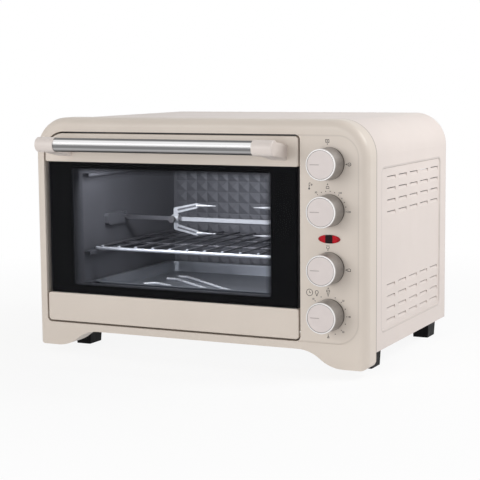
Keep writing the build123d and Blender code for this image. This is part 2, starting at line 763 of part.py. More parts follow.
def make_timer(z):
    """Clockwork timer case with its bell behind."""
    body = control_square(z, TIMER_W, TIMER_W, TIMER_R, TIMER_L)
    post_d = CONTROL_D + TIMER_L
    bell_d = post_d + BELL_POST_L
    body += rod_y(DIAL_X, post_d, bell_d, z, BELL_POST_D / 2)
    bell = rod_y(DIAL_X, bell_d, bell_d + BELL_L, z, BELL_D / 2)
    body += fillet(rear_edges(bell), BELL_R)
    return with_bush(body, z)


# Outer shell: a top sheet that wraps over both upper corners, and two side sheets under it
def shell_section(inset):
    """Closed outline (x, z) of the body, its two upper corners rounded."""
    half = SHELL_X - inset
    top = SHELL_TOP - inset
    face = make_face(Polyline((-half, SHELL_Z), (half, SHELL_Z), (half, top), (-half, top), close=True))
    return fillet(face.vertices().sort_by(Axis.Y)[-2:], SHELL_R - inset)


def make_top_cover():
    """Top sheet down to where its corners end, with a lap that goes behind each side sheet."""
    spring = SHELL_TOP - SHELL_R
    cover = front_slab(shell_section(0) - shell_section(SHEET), FRAME_DEPTH, SHELL_D1)
    cover -= block(-SHELL_X - PAST, SHELL_X + PAST, FRAME_DEPTH - PAST, BODY_DEPTH, 0, spring)
    for side in (-1, 1):
        inner = side * (SHELL_X - SHEET)
        cover += block(inner - side * SHEET, inner, FRAME_DEPTH, SHELL_D1, spring - LAP, spring + LAP / 2)
    return cover


def louvre_rows():
    """Heights of the rows: four hang from the pressed field's top and four rise from its bottom."""
    upper = [PRESS_Z1 - LOUVRE_HIGH - i * LOUVRE_ROW for i in range(LOUVRE_ROW_COUNT)]
    lower = [PRESS_Z0 + LOUVRE_LOW + i * LOUVRE_ROW for i in range(LOUVRE_ROW_COUNT)]
    return upper + lower


def louvre_pocket(d0, d1, z, grow, face_x):
    """One louvre: a pocket that is flush at its lower edge and sinks in towards its slit."""
    x = SHELL_X - PRESS_IN - grow
    low, high = z - LOUVRE_H / 2 - grow, z + LOUVRE_H / 2
    face = make_face(Polyline((x, low), (x - LOUVRE_LEAN, high), (face_x, high), (face_x, low), close=True))
    return front_slab(face, d0 - grow, d1 + grow)


def pressed_field(inset):
    """The field with its sloping edge, pressed in from the side sheet."""
    d0, d1, z0, z1 = PRESS_D0 + inset, PRESS_D1 - inset, PRESS_Z0 + inset, PRESS_Z1 - inset
    step = PRESS_IN
    wide = rounded(d0, d1, z0, z1, PRESS_R - inset)
    tight = rounded(d0 + step, d1 - step, z0 + step, z1 - step, PRESS_R - step - inset)
    return loft([side_face(wide, SHELL_X), side_face(tight, SHELL_X - PRESS_IN)])


def make_side_panel():
    """Right-hand side sheet: a pressed field with rows of louvres, and a lip below for the base."""
    x = SHELL_X
    spring = SHELL_TOP - SHELL_R
    panel = block(x - SHEET, x, FRAME_DEPTH, SHELL_D1, SHELL_Z, spring)
    panel += Pos(-SHEET, 0, 0) * pressed_field(0)
    panel -= pressed_field(SHEET / 2)
    slots, pockets, backs = [], [], []
    for z in louvre_rows():
        for i in range(LOUVRE_COUNT):
            d0 = LOUVRE_D0 + i * LOUVRE_PITCH
            d1 = d0 + LOUVRE_L
            high = z + LOUVRE_H / 2
            backs.append(louvre_pocket(d0, d1, z, SHEET, x - PRESS_IN))
            pockets.append(louvre_pocket(d0, d1, z, 0, x))
            slots.append(block(x - PRESS_IN - LOUVRE_LEAN - PAST, x, d0, d1, high - LOUVRE_SLIT, high))
    panel += backs
    panel -= pockets
    panel -= slots
    return panel + block(x - SHELL_LIP, x, FRAME_DEPTH, SHELL_D1, SHELL_Z, SHELL_Z + SHEET)


def make_side_panels():
    right = make_side_panel()
    return group([mirror(right, Plane.YZ), right])


def vent_slots(x_middle, cols):
    pitch = VENT_L + VENT_GAP
    slots = []
    for row in range(VENT_ROWS):
        z = SHELL_TOP - VENT_HIGH - row * VENT_ROW
        for col in range(cols):
            x = x_middle + (col - (cols - 1) / 2) * pitch
            slots.append(block(x - VENT_L / 2, x + VENT_L / 2, SHELL_D1 - PAST, BODY_DEPTH + PAST,
                               z - VENT_H / 2, z + VENT_H / 2))
    return slots


def make_rear_panel():
    """Back sheet with a field of vent slots behind the cavity and one behind the controls."""
    panel = front_slab(shell_section(0), SHELL_D1, BODY_DEPTH)
    panel -= vent_slots((CAV_X0 + CAV_X1) / 2, VENT_COLS)
    panel -= vent_slots(DIAL_X, VENT_PANEL_COLS)
    panel -= rod_y(DIAL_X, SHELL_D1 - PAST, BODY_DEPTH + PAST, GLAND_Z, GLAND_D / 2)
    return panel


def make_gland():
    """Grommet that the supply lead would pass."""
    ring = rod_y(DIAL_X, SHELL_D1, BODY_DEPTH, GLAND_Z, GLAND_D / 2)
    ring += rod_y(DIAL_X, SHELL_D1 - GLAND_FLANGE_T, SHELL_D1, GLAND_Z, GLAND_FLANGE_D / 2)
    ring += rod_y(DIAL_X, BODY_DEPTH, BODY_DEPTH + SCREW_HEAD_H, GLAND_Z, GLAND_FLANGE_D / 2)
    past = 2 * GLAND_FLANGE_T
    return ring - rod_y(DIAL_X, BODY_DEPTH - past, BODY_DEPTH + past, GLAND_Z, GLAND_BORE_D / 2)


def make_base():
    """Bottom sheet with rows of air slots, carried by the side sheets' lips."""
    x = SHELL_X - SHEET
    z0 = SHELL_Z + SHEET
    plate = block(-x, x, FRAME_DEPTH, SHELL_D1, z0, z0 + SHEET)
    half_l, half_w = AIR_SLOT_L / 2, AIR_SLOT_W / 2
    margin = AIR_SLOT_MARGIN
    slots = []
    for x_mid in spread(margin - x - half_w, x - margin + half_w, AIR_SLOT_COLS):
        for d_mid in spread(FRAME_DEPTH + margin, BODY_DEPTH - margin - half_w, AIR_SLOT_ROWS):
            slots.append(block(x_mid - half_l, x_mid + half_l, d_mid - half_w, d_mid + half_w,
                               z0 - PAST, z0 + SHEET + PAST))
    return plate - slots


def foot_places():
    x = SHELL_X - FOOT_SIDE_INSET - FOOT_W / 2
    front = FRAME_DEPTH + FOOT_FRONT + FOOT_L / 2
    rear = BODY_DEPTH - FOOT_REAR - FOOT_L / 2
    return [(sx * x, d) for sx in (-1, 1) for d in (front, rear)]


def make_feet():
    """Four tapering rubber feet, each a little wider where it meets the base."""
    feet = []
    for x, d in foot_places():
        low = Plane((x, depth(d), 0)) * RectangleRounded(FOOT_W, FOOT_L, FOOT_R)
        wide, long = FOOT_W + FOOT_TAPER, FOOT_L + FOOT_TAPER
        high = Plane((x, depth(d), SHELL_Z)) * RectangleRounded(wide, long, FOOT_R)
        feet.append(loft([low, high]) - rod_z(x, d, -PAST, FOOT_WELL, FOOT_WELL_D / 2))
    return group(feet)


def make_body_screws():
    """Pan heads that hold the back sheet, and the foot screws, seen from below."""
    x_edge = SHELL_X - SCREW_EDGE
    spots = [(sx * x_edge, SHELL_Z + up) for sx in (-1, 1) for up in SCREW_UP]
    spots += [(x, SHELL_TOP - SCREW_EDGE) for x in (-SCREW_ACROSS, 0, SCREW_ACROSS)]
    screws = [rod_y(x, BODY_DEPTH, BODY_DEPTH + SCREW_HEAD_H, z, SCREW_HEAD_D / 2) for x, z in spots]
    screws += [rod_z(x, d, FOOT_WELL - FOOT_SCREW_L, FOOT_WELL, FOOT_SCREW_D / 2) for x, d in foot_places()]
    return group(screws)


# Cavity
def make_front_flange():
    """Flat steel face round the mouth of the cavity, clamped behind the frame's reveal."""
    mouth = rounded(CAV_X0, CAV_X1, CAV_Z0, CAV_Z1, MOUTH_R)
    return front_slab(door_opening(REVEAL_WALL) - mouth, REVEAL_DEPTH, CAV_D0)


def heater_places():
    return [(d, z) for d in HEATER_DEPTHS for z in (HEATER_UP_Z, HEATER_LOW_Z)]


def ledge(wall_x, into, z):
    """Folded runner: a shelf that leaves the wall and a lip that hangs from its edge."""
    tip = wall_x + into * LEDGE_OUT
    edge = tip - into * LEDGE_T
    shelf = block(wall_x, tip, LEDGE_D0, LEDGE_D1, z - LEDGE_T, z)
    return shelf + block(edge, tip, LEDGE_D0, LEDGE_D1, z - LEDGE_LIP, z)


def make_side_wall(wall_x, into):
    """One side of the cavity with its three runners; into is the direction of the inside."""
    back_x = wall_x - into * SHEET
    wall = block(back_x, wall_x, CAV_D0, CAV_D1, CAV_Z0, CAV_Z1)
    for z in LEDGE_Z:
        wall += ledge(wall_x, into, z)
    x0, x1 = min(back_x, wall_x) - PAST, max(back_x, wall_x) + PAST
    return wall - [rod_x(x0, x1, d, z, INSULATOR_D / 2) for d, z in heater_places()]


def make_right_wall():
    wall = make_side_wall(CAV_X1, -1)
    x0, x1 = CAV_X1 - PAST, CAV_X1 + SHEET + PAST
    wall -= rod_x(x0, x1, SPIT_DEPTH, SPIT_Z, SOCKET_D / 2 + RUN_CLEAR)
    wall -= rod_x(x0, x1, FAN_DEPTH, FAN_Z, GUARD_R - GUARD_LAP)
    wall -= rod_x(x0, x1, LAMP_DEPTH, LAMP_Z, LAMP_R - LAMP_WELL)
    return wall


def make_back_wall():
    """Back of the cavity, pressed into a grid of shallow pyramids that point to the front."""
    d_tip = CAV_D1 - EMBOSS_IN
    xs = spread(CAV_X0 + EMBOSS_SIDE, CAV_X1 - EMBOSS_SIDE, EMBOSS_COLS + 1)
    zs = spread(CAV_Z0 + EMBOSS_EDGE, CAV_Z1 - EMBOSS_EDGE, EMBOSS_ROWS + 1)

    def at(x, z, d=CAV_D1):
        return Vector(x, depth(d), z)

    faces = []
    for x0, x1 in zip(xs, xs[1:]):
        for z0, z1 in zip(zs, zs[1:]):
            tip = at((x0 + x1) / 2, (z0 + z1) / 2, d_tip)
            ring = [at(x0, z0), at(x1, z0), at(x1, z1), at(x0, z1)]
            faces += [Face(Wire.make_polygon([ring[i - 1], ring[i], tip])) for i in range(4)]
    rim = [at(x, zs[0]) for x in xs[:-1]] + [at(xs[-1], z) for z in zs[:-1]]
    rim += [at(x, zs[-1]) for x in xs[:0:-1]] + [at(xs[0], z) for z in zs[:0:-1]]
    faces.append(Face(Wire.make_polygon(rim)))
    sheet = block(CAV_X0, CAV_X1, CAV_D1, CAV_D1 + SHEET, CAV_Z0, CAV_Z1)
    return sheet + Solid(Shell(faces))


def make_cavity_sheet(z0):
    """Flat roof or floor of the cavity, as wide as the outside of its walls."""
    return block(CAV_X0 - SHEET, CAV_X1 + SHEET, CAV_D0, CAV_D1 + SHEET, z0, z0 + SHEET)


def make_crumb_tray():
    """Shallow loose tray on the cavity's floor."""
    x0, x1 = CAV_X0 + CRUMB_GAP, CAV_X1 - CRUMB_GAP
    d0, d1 = CAV_D0 + CRUMB_GAP, CAV_D1 - EMBOSS_IN - CRUMB_GAP
    pan = top_slab(rounded(x0, x1, d0, d1, CRUMB_R), CAV_Z0, CAV_Z0 + CRUMB_RIM)
    dish = rounded(x0 + TRAY_T, x1 - TRAY_T, d0 + TRAY_T, d1 - TRAY_T, CRUMB_R - TRAY_T)
    return pan - top_slab(dish, CAV_Z0 + SHEET, CAV_Z0 + CRUMB_RIM + PAST)


def make_heaters(z):
    """Two straight sheathed rods with their terminal pins outside the cavity."""
    rods = []
    x0, x1 = CAV_X0 - INSULATOR_OUT, CAV_X1 + INSULATOR_OUT
    for d in HEATER_DEPTHS:
        rod = rod_x(x0, x1, d, z, HEATER_D / 2)
        rods.append(rod + rod_x(x0 - HEATER_TAIL, x1 + HEATER_TAIL, d, z, HEATER_PIN_D / 2))
    return group(rods)


def make_insulators():
    """Ceramic bushes that hold the heater ends in the side walls, with a collar inside."""
    bushes = []
    for wall_x, into in ((CAV_X0, 1), (CAV_X1, -1)):
        inner = wall_x + into * INSULATOR_IN
        outer = wall_x - into * INSULATOR_OUT
        for d, z in heater_places():
            bush = rod_x(inner, outer, d, z, INSULATOR_D / 2)
            bush += rod_x(wall_x, inner, d, z, INSULATOR_D / 2 + COLLAR)
            bushes.append(bush - rod_x(inner + into * PAST, outer - into * PAST, d, z, HEATER_D / 2))
    return group(bushes)


# Rack and tray
def make_rack():
    """Welded grid: a round perimeter wire, two stays across it and front-to-back bars on top."""
    r = RACK_WIRE / 2
    x0, x1, d0, d1 = RACK_X0 + r, RACK_X1 - r, RACK_D0 + r, RACK_D1 - r
    z = LEDGE_Z[1] + SLIDE_GAP + r
    loop = FilletPolyline((x0, d0), (x1, d0), (x1, d1), (x0, d1), radius=RACK_CORNER_R, close=True)
    path = Plane((0, FRONT_Y, z)) * loop
    start = path.edges().sort_by(Axis.Y)[0]
    profile = Plane(origin=start @ 0.5, z_dir=start % 0.5) * Circle(r)
    rack = sweep(profile, path=path)
    for d in (RACK_D0 + RACK_STAY, RACK_D1 - RACK_STAY):
        rack += rod_x(x0, x1, d, z, RACK_STAY_D / 2)
    bar_z = z + r + RACK_BAR / 2 - RACK_BAR_SINK
    for x in spread(RACK_X0 + RACK_BAR_SIDE, RACK_X1 - RACK_BAR_SIDE, RACK_BARS):
        rack += rod_y(x, RACK_D0 + RACK_BAR_END, RACK_D1 - RACK_BAR_END, bar_z, RACK_BAR / 2)
    return rack


def tray_sketch(grow, radius):
    return rounded(TRAY_X0 + TRAY_RIM - grow, TRAY_X1 - TRAY_RIM + grow, TRAY_D0 + TRAY_RIM - grow,
                   TRAY_D1 - TRAY_RIM + grow, radius)


def tray_dish(low, high, inset):
    """The tray's sloping body, inset from its outside."""
    slope = TRAY_SLOPE + inset
    return loft([Plane((0, FRONT_Y, low)) * tray_sketch(-slope, TRAY_R - slope),
                 Plane((0, FRONT_Y, high)) * tray_sketch(-inset, TRAY_R - inset)])


def make_tray():
    """Drawn tray: sloping walls and a flat rim that slides on the lowest runners."""
    low = TRAY_RIM_Z - TRAY_DEPTH
    high = TRAY_RIM_Z + TRAY_T
    tray = tray_dish(low, high, 0) + top_slab(tray_sketch(TRAY_RIM, TRAY_R + TRAY_RIM), TRAY_RIM_Z, high)
    return tray - tray_dish(low + TRAY_T, high, TRAY_T)


def wire_on_tray(shares, radius):
    """A bent wire tool on the tray's floor, its bends given as shares of the floor."""
    inset = TRAY_RIM + TRAY_SLOPE
    x0, wide = TRAY_X0 + inset, TRAY_X1 - TRAY_X0 - 2 * inset
    d0, deep = TRAY_D0 + inset, TRAY_D1 - TRAY_D0 - 2 * inset
    z = TRAY_RIM_Z - TRAY_DEPTH + TRAY_T + SLIDE_GAP + TOOL_WIRE / 2
    bends = [(x0 + across * wide, d0 + along * deep) for across, along in shares]
    line = FilletPolyline(*bends, radius=radius)
    path = Plane((0, FRONT_Y, z)) * line
    return sweep(Plane(origin=path @ 0, z_dir=path % 0) * Circle(TOOL_WIRE / 2), path=path)


def make_tray_grip():
    """Wire handle for lifting the hot tray: a long loop with two turned-in hooks."""
    return wire_on_tray(GRIP_LINE, GRIP_R)


def make_spit_lifter():
    """Wire lifter for the spit: a bent grip with an open hook."""
    return wire_on_tray(LIFTER_LINE, LIFTER_R)


# Spit
def spit_plane(x):
    return Plane((x, depth(SPIT_DEPTH), SPIT_Z), z_dir=(1, 0, 0))


def square_bar(x0, x1, side):
    half = side / 2
    return block(x0, x1, SPIT_DEPTH - half, SPIT_DEPTH + half, SPIT_Z - half, SPIT_Z + half)


def make_spit_rod():
    """Square bar, pointed where it enters the drive and turned round where it lies in its rest."""
    x0 = CAV_X0 + 2 * REST_FLOOR
    shoulder = x0 + SPIT_ROUND_L
    x1 = CAV_X1 + SOCKET_L - SOCKET_OUT - SPIT_SHORT
    taper = x1 - SPIT_POINT
    rod = square_bar(shoulder, taper, SPIT_SIDE) + rod_x(x0, shoulder, SPIT_DEPTH, SPIT_Z, SPIT_SIDE / 2)
    return rod + loft([spit_plane(taper) * Rectangle(SPIT_SIDE, SPIT_SIDE),
                       spit_plane(x1) * Rectangle(SPIT_POINT_SIDE, SPIT_POINT_SIDE)])


def fork_strip(hub_x, into):
    """Stamped strip (x, z) of a fork: a bar across the spit and two arms that spread."""
    half = FORK_STRIP_W / 2
    heel, inner, tip = hub_x - into * half, hub_x + into * half, hub_x + into * FORK_ARM_L
    upper = [(heel, SPIT_Z + FORK_ROOT + half), (tip, SPIT_Z + FORK_SPREAD + half),
             (tip, SPIT_Z + FORK_SPREAD - half), (inner, SPIT_Z + FORK_ROOT - half)]
    lower = [(x, 2 * SPIT_Z - z) for x, z in reversed(upper)]
    face = make_face(Polyline(*upper, *lower, close=True))
    heels = face.vertices().sort_by_distance((heel - into * FORK_ARM_L, SPIT_Z, 0))[:2]
    return fillet(heels, FORK_BEND_R)


def fork_grooves(hub_x, into):
    """The groove along each arm, as a sketch (x, z)."""
    x0, x1 = hub_x + into * FORK_GROOVE_END, hub_x + into * (FORK_ARM_L - FORK_GROOVE_END)
    rise = (FORK_SPREAD - FORK_ROOT) / FORK_ARM_L
    grooves = []
    for side in (1, -1):
        start, end = (SPIT_Z + side * (FORK_ROOT + rise * abs(x - hub_x)) for x in (x0, x1))
        run, climb = x1 - x0, end - start
        slot = SlotCenterToCenter(sqrt(run ** 2 + climb ** 2), FORK_GROOVE_W)
        tilt = Rot(0, 0, degrees(atan2(climb, run)))
        grooves.append(Pos((x0 + x1) / 2, (start + end) / 2) * tilt * slot)
    return grooves


def make_fork(hub_x, into):
    """Hub with a square bore, a grooved strip whose arms spread, and a long round point on each."""
    half, thick = FORK_HUB_L / 2, FORK_STRIP_T / 2
    fork = front_slab(fork_strip(hub_x, into), SPIT_DEPTH - thick, SPIT_DEPTH + thick)
    for groove in fork_grooves(hub_x, into):
        fork -= front_slab(groove, SPIT_DEPTH - thick - PAST, SPIT_DEPTH - thick + FORK_GROOVE_T)
        fork -= front_slab(groove, SPIT_DEPTH + thick - FORK_GROOVE_T, SPIT_DEPTH + thick + PAST)
    fork += rod_x(hub_x - half, hub_x + half, SPIT_DEPTH, SPIT_Z, FORK_HUB_D / 2)
    middle = hub_x + into * (FORK_ARM_L - TINE_SINK + TINE_L / 2)
    for side in (1, -1):
        point = Rot(0, 90 * into, 0) * Cone(TINE_D / 2, TINE_POINT_D / 2, TINE_L)
        fork += Pos(middle, depth(SPIT_DEPTH), SPIT_Z + side * FORK_SPREAD) * point
    return fork - square_bar(hub_x - FORK_HUB_L, hub_x + FORK_HUB_L, SPIT_SIDE)


def fork_screw(hub_x):
    """Thumb screw that clamps a fork to the spit, standing towards the door."""
    neck = SPIT_DEPTH - FORK_HUB_D / 2 - THUMB_NECK
    shank = rod_y(hub_x, neck, SPIT_DEPTH - SPIT_SIDE / 2, SPIT_Z, THUMB_SHANK_D / 2)
    return shank + rod_y(hub_x, neck - THUMB_L, neck, SPIT_Z, THUMB_D / 2)


def make_forks():
    forks = [make_fork(x, into) for x, into in zip(FORK_HUB_X, (1, -1))]
    return group([fork - fork_screw(x) for fork, x in zip(forks, FORK_HUB_X)])


def make_fork_screws():
    return group([fork_screw(x) for x in FORK_HUB_X])


def make_socket():
    """Turning sleeve in the right wall with the square hole that drives the spit."""
    x0 = CAV_X1 - SOCKET_OUT
    sleeve = rod_x(x0, x0 + SOCKET_L, SPIT_DEPTH, SPIT_Z, SOCKET_D / 2)
    return sleeve - square_bar(x0 - PAST, x0 + SOCKET_L - SOCKET_END, SPIT_SIDE)


def make_spit_motor():
    """Geared motor on the outside of the right wall, its output bore round the drive sleeve."""
    x0 = CAV_X1 + SHEET
    ears = Pos(x0 + MOTOR_EAR_T / 2, depth(SPIT_DEPTH), SPIT_Z) * Box(MOTOR_EAR_T, MOTOR_EAR_L, MOTOR_EAR_H)
    motor = rod_x(x0, x0 + MOTOR_L, SPIT_DEPTH, SPIT_Z, MOTOR_D / 2) + ears
    bore_end = CAV_X1 - SOCKET_OUT + SOCKET_L + SLIDE_GAP
    return motor - rod_x(x0 - PAST, bore_end, SPIT_DEPTH, SPIT_Z, SOCKET_D / 2 + RUN_CLEAR)


def make_spit_rest():
    """Bracket on the left wall: a rounded cheek with a slot that the spit's end is dropped into."""
    middle = SPIT_DEPTH - REST_FRONT
    d0, d1 = middle - REST_L / 2, middle + REST_L / 2
    cheek = rounded(d0, d1, SPIT_Z - REST_H / 2, SPIT_Z + REST_H / 2, REST_R)
    body = side_slab(cheek, CAV_X0, CAV_X0 + REST_T)
    r = SPIT_SIDE / 2 + RUN_CLEAR
    x0, x1 = CAV_X0 + REST_FLOOR, CAV_X0 + REST_T + PAST
    slot = rod_x(x0, x1, SPIT_DEPTH, SPIT_Z, r)
    return body - slot - block(x0, x1, SPIT_DEPTH - r, SPIT_DEPTH + r, SPIT_Z, SPIT_Z + REST_H)


# Fan and lamp
def make_guard():
    """Round cover of the fan: a disc with a ring of radial slots."""
    disc = rod_x(CAV_X1 - GUARD_T, CAV_X1, FAN_DEPTH, FAN_Z, GUARD_R)
    centre = Pos(CAV_X1 - GUARD_T / 2, depth(FAN_DEPTH), FAN_Z)
    reach = GUARD_R - GUARD_RIM
    slot = Pos(0, (reach + GUARD_HUB) / 2, 0) * Box(GUARD_T + 2 * PAST, reach - GUARD_HUB, GUARD_SLOT_W)
    return disc - [centre * Rot(360.0 * i / GUARD_SLOTS, 0, 0) * slot for i in range(GUARD_SLOTS)]


def make_fan_cup():
    """Pan behind the wall that the fan turns in."""
    x0 = CAV_X1 + SHEET
    x1 = x0 + FAN_CUP_L
    cup = rod_x(x0, x1, FAN_DEPTH, FAN_Z, GUARD_R)
    cup -= rod_x(x0 - PAST, x1 - SHEET, FAN_DEPTH, FAN_Z, GUARD_R - SHEET)
    return cup - rod_x(x0, x1 + PAST, FAN_DEPTH, FAN_Z, FAN_SHAFT_D / 2 + RUN_CLEAR)


def make_fan():
    """Radial wheel: a back disc, straight blades and the motor's shaft."""
    x_back = FAN_BACK_X
    x_front = x_back - FAN_T - FAN_W
    wheel = rod_x(x_back - FAN_T, x_back, FAN_DEPTH, FAN_Z, FAN_R)
    wheel += rod_x(x_front + FAN_HUB_SHORT, x_back, FAN_DEPTH, FAN_Z, FAN_HUB_R)
    centre = Pos((x_front + x_back) / 2, depth(FAN_DEPTH), FAN_Z)
    vane = Pos(0, (FAN_R + FAN_EYE) / 2, 0) * Box(x_back - x_front, FAN_R - FAN_EYE, FAN_T)
    for i in range(FAN_BLADES):
        wheel += centre * Rot(360.0 * i / FAN_BLADES, 0, 0) * vane
    return wheel + rod_x(x_back, x_back + FAN_BACK_GAP + FAN_SHAFT_IN, FAN_DEPTH, FAN_Z, FAN_SHAFT_D / 2)


def make_fan_motor():
    x0 = FAN_BACK_X + FAN_BACK_GAP
    nose_end = x0 + FAN_NOSE_L
    motor = rod_x(x0, nose_end, FAN_DEPTH, FAN_Z, FAN_NOSE_D / 2)
    motor += rod_x(nose_end, x0 + FAN_MOTOR_L, FAN_DEPTH, FAN_Z, FAN_MOTOR_D / 2)
    bore_end = x0 + FAN_SHAFT_IN + BORE_OVER
    return motor - rod_x(x0 - PAST, bore_end, FAN_DEPTH, FAN_Z, FAN_SHAFT_D / 2 + RUN_CLEAR)


def make_lamp_cover():
    """Domed glass of the cavity lamp, standing a little into the cavity."""
    flange_x = CAV_X1 - LAMP_FLANGE
    dome = rod_x(CAV_X1 - LAMP_OUT, flange_x, LAMP_DEPTH, LAMP_Z, LAMP_R - LAMP_EDGE)
    dome = fillet(dome.faces().sort_by(Axis.X)[0].edges(), LAMP_DOME_R)
    return rod_x(flange_x, CAV_X1, LAMP_DEPTH, LAMP_Z, LAMP_R) + dome


def make_lamp_holder():
    plate_x = CAV_X1 + SHEET
    holder = rod_x(CAV_X1, CAV_X1 + LAMP_HOLDER_L, LAMP_DEPTH, LAMP_Z, LAMP_R - LAMP_WELL)
    return holder + rod_x(plate_x, plate_x + LAMP_PLATE, LAMP_DEPTH, LAMP_Z, LAMP_R + LAMP_WELL)


def build_parts():
    parts = {
        "front_frame": make_front_frame(),
        "indicator_lens": make_lens(),
        "hinge_blocks": make_hinge_blocks(),
        "top_cover": make_top_cover(),
        "side_panels": make_side_panels(),
        "rear_panel": make_rear_panel(),
        "base_plate": make_base(),
        "feet": make_feet(),
        "cord_gland": make_gland(),
        "body_screws": make_body_screws(),
        "cavity_front_flange": make_front_flange(),
        "cavity_left_wall": make_side_wall(CAV_X0, 1),
        "cavity_right_wall": make_right_wall(),
        "cavity_back_wall": make_back_wall(),
        "cavity_roof": make_cavity_sheet(CAV_Z1),
        "cavity_floor": make_cavity_sheet(CAV_Z0 - SHEET),
        "crumb_tray": make_crumb_tray(),
        "upper_heaters": make_heaters(HEATER_UP_Z),
        "lower_heaters": make_heaters(HEATER_LOW_Z),
        "heater_insulators": make_insulators(),
        "spit_rest": make_spit_rest(),
        "spit_motor": make_spit_motor(),
        "fan_guard": make_guard(),
        "fan_cup": make_fan_cup(),
        "fan_motor": make_fan_motor(),
        "lamp_cover": make_lamp_cover(),
        "lamp_holder": make_lamp_holder(),
        "control_plate": make_control_plate(),
        "rotary_switches": group([make_rotary_switch(DIAL_Z[0]), make_rotary_switch(DIAL_Z[2])]),
        "thermostat": make_thermostat(DIAL_Z[1]),
        "timer_case": make_timer(DIAL_Z[3]),
        "door_top_bar": make_top_bar(),
        "door_bottom_bar": make_bottom_bar(),
        "door_glass": make_glass(),
        "door_inner_frame": make_door_back(),
        "door_pivots": make_pivots(),
        "door_screws": make_door_screws(),
        "handle_tube": make_handle_tube(),
        "handle_arms": group([make_handle_arm(-1), make_handle_arm(1)]),
        "wire_rack": make_rack(),
        "baking_tray": make_tray(),
        "tray_grip": make_tray_grip(),
        "spit_lifter": make_spit_lifter(),
        "spit_rod": make_spit_rod(),
        "spit_forks": make_forks(),
        "fork_screws": make_fork_screws(),
        "spit_socket": make_socket(),
        "fan_wheel": make_fan(),
    }
    for name, z in zip(DIAL_NAMES, DIAL_Z):
        parts[name + "_dial"] = make_dial(z)
        parts[name + "_dial_cap"] = make_dial_cap(z)
        parts[name + "_shaft"] = make_shaft(z)
    return parts


if __name__ == "__main__":
    os.makedirs("parts", exist_ok=True)
    for node, shape in build_parts().items():
        export_step(shape, "parts/" + node + ".step")
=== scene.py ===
import json
import math
from collections import namedtuple

import bmesh
import bpy
from mathutils import Matrix, Vector


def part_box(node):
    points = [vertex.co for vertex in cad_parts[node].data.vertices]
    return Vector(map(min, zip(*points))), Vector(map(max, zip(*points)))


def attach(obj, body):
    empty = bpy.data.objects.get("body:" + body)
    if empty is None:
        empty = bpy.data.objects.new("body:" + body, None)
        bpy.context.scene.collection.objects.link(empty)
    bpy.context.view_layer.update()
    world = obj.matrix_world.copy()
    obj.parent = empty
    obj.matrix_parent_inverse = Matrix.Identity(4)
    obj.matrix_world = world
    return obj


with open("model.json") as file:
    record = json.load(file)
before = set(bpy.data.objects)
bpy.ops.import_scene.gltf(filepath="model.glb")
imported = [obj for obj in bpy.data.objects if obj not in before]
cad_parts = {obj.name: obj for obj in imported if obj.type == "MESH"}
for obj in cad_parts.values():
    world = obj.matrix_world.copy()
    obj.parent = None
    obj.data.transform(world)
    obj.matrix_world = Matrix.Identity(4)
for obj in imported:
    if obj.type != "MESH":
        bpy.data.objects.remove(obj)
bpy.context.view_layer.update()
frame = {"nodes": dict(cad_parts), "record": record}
scene = bpy.context.scene
nodes = frame["nodes"]


# Colours
def linear(r, g, b):
    """Scene-linear colour of an 8-bit display colour."""
    def one(v):
        v /= 255.0
        return v / 12.92 if v <= 0.04045 else ((v + 0.055) / 1.055) ** 2.4
    return (one(r), one(g), one(b))


def shade(colour, factor):
    return tuple(min(1.0, c * factor) for c in colour)


CREAM_FRONT = linear(217, 206, 195)
CREAM_SHELL = linear(221, 210, 204)
CREAM_ARMS = linear(223, 213, 207)
CAP_PINK = linear(216, 206, 203)
PRINT_GREY = linear(48, 42, 40)
STEEL_DARK = (0.125, 0.127, 0.142)
STEEL_REAR = (0.50, 0.50, 0.51)
STEEL_MOTOR = (0.50, 0.50, 0.48)
STEEL_SCREW = (0.58, 0.57, 0.55)
STEEL_FORK_SCREW = (0.16, 0.155, 0.16)
TRAY_GREY = (0.29, 0.305, 0.335)
WIRE_WHITE = (0.86, 0.88, 0.92)
WIRE_BRIGHT = (0.95, 0.97, 1.0)
SPIT_GREY = (0.47, 0.48, 0.50)
SKIRT_GREY = (0.40, 0.385, 0.38)
FAN_GREY = (0.66, 0.66, 0.67)
SHAFT_GREY = (0.60, 0.60, 0.60)
CERAMIC_WHITE = (0.80, 0.78, 0.73)
SWITCH_BLACK = (0.045, 0.045, 0.05)
RUBBER_BLACK = (0.0035, 0.0033, 0.004)
GLASS_TINT = (0.90, 0.91, 0.935)
LAMP_TINT = (0.9, 0.9, 0.88)
# painted shade: the brown dark of the seam behind the front frame
SEAM_SHADE_BROWN = (0.16, 0.125, 0.10)

# How strong the painted shade in the seam is, and each glass's index of refraction. The door's is
# low, because its black border shows almost no reflection in the photograph.
SEAM_SHADE = 0.8
DOOR_SHINE = 1.12
LAMP_SHINE = 1.5

# Height across the handle's tube, from 0 below to 1 above, and the tone there: a painted
# reflection, with painted highlight bands and painted shade
HANDLE_REFLECTION_TONES = (
    (0.0, 0.04), (0.036, 0.07), (0.11, 0.22), (0.19, 0.40), (0.26, 0.46), (0.33, 0.21),
    (0.39, 0.22), (0.46, 0.16), (0.55, 0.19), (0.61, 0.33), (0.68, 0.76), (0.83, 0.90),
    (0.89, 0.22), (0.97, 0.07),
)

# Places and sizes, in metres
MM = 0.001
MICRON = 0.000001
FRONT_Y = -0.15615
FRAME_REAR = FRONT_Y + 36.5 * MM
GLASS_REAR = FRONT_Y + 6.3 * MM
RACK_FRONT = FRONT_Y + 66 * MM
SPIT_Y = FRONT_Y + 159 * MM
# where the front wire of the rack and the bright part of the spit end, and painted shade darkens
# the wire behind and to the left
RACK_SHADE = ("y", RACK_FRONT + 3 * MM, RACK_FRONT + 6 * MM)
ROD_SHADE = ("x", -0.099, -0.101)
# the spit forks: middle of both, groove floor's distance from it, where the strips end
FORK_MIDDLE = (-0.0105, SPIT_Y, 0.192)
FORK_GROOVE = 0.9 * MM
FORK_STRIP = 64.5 * MM
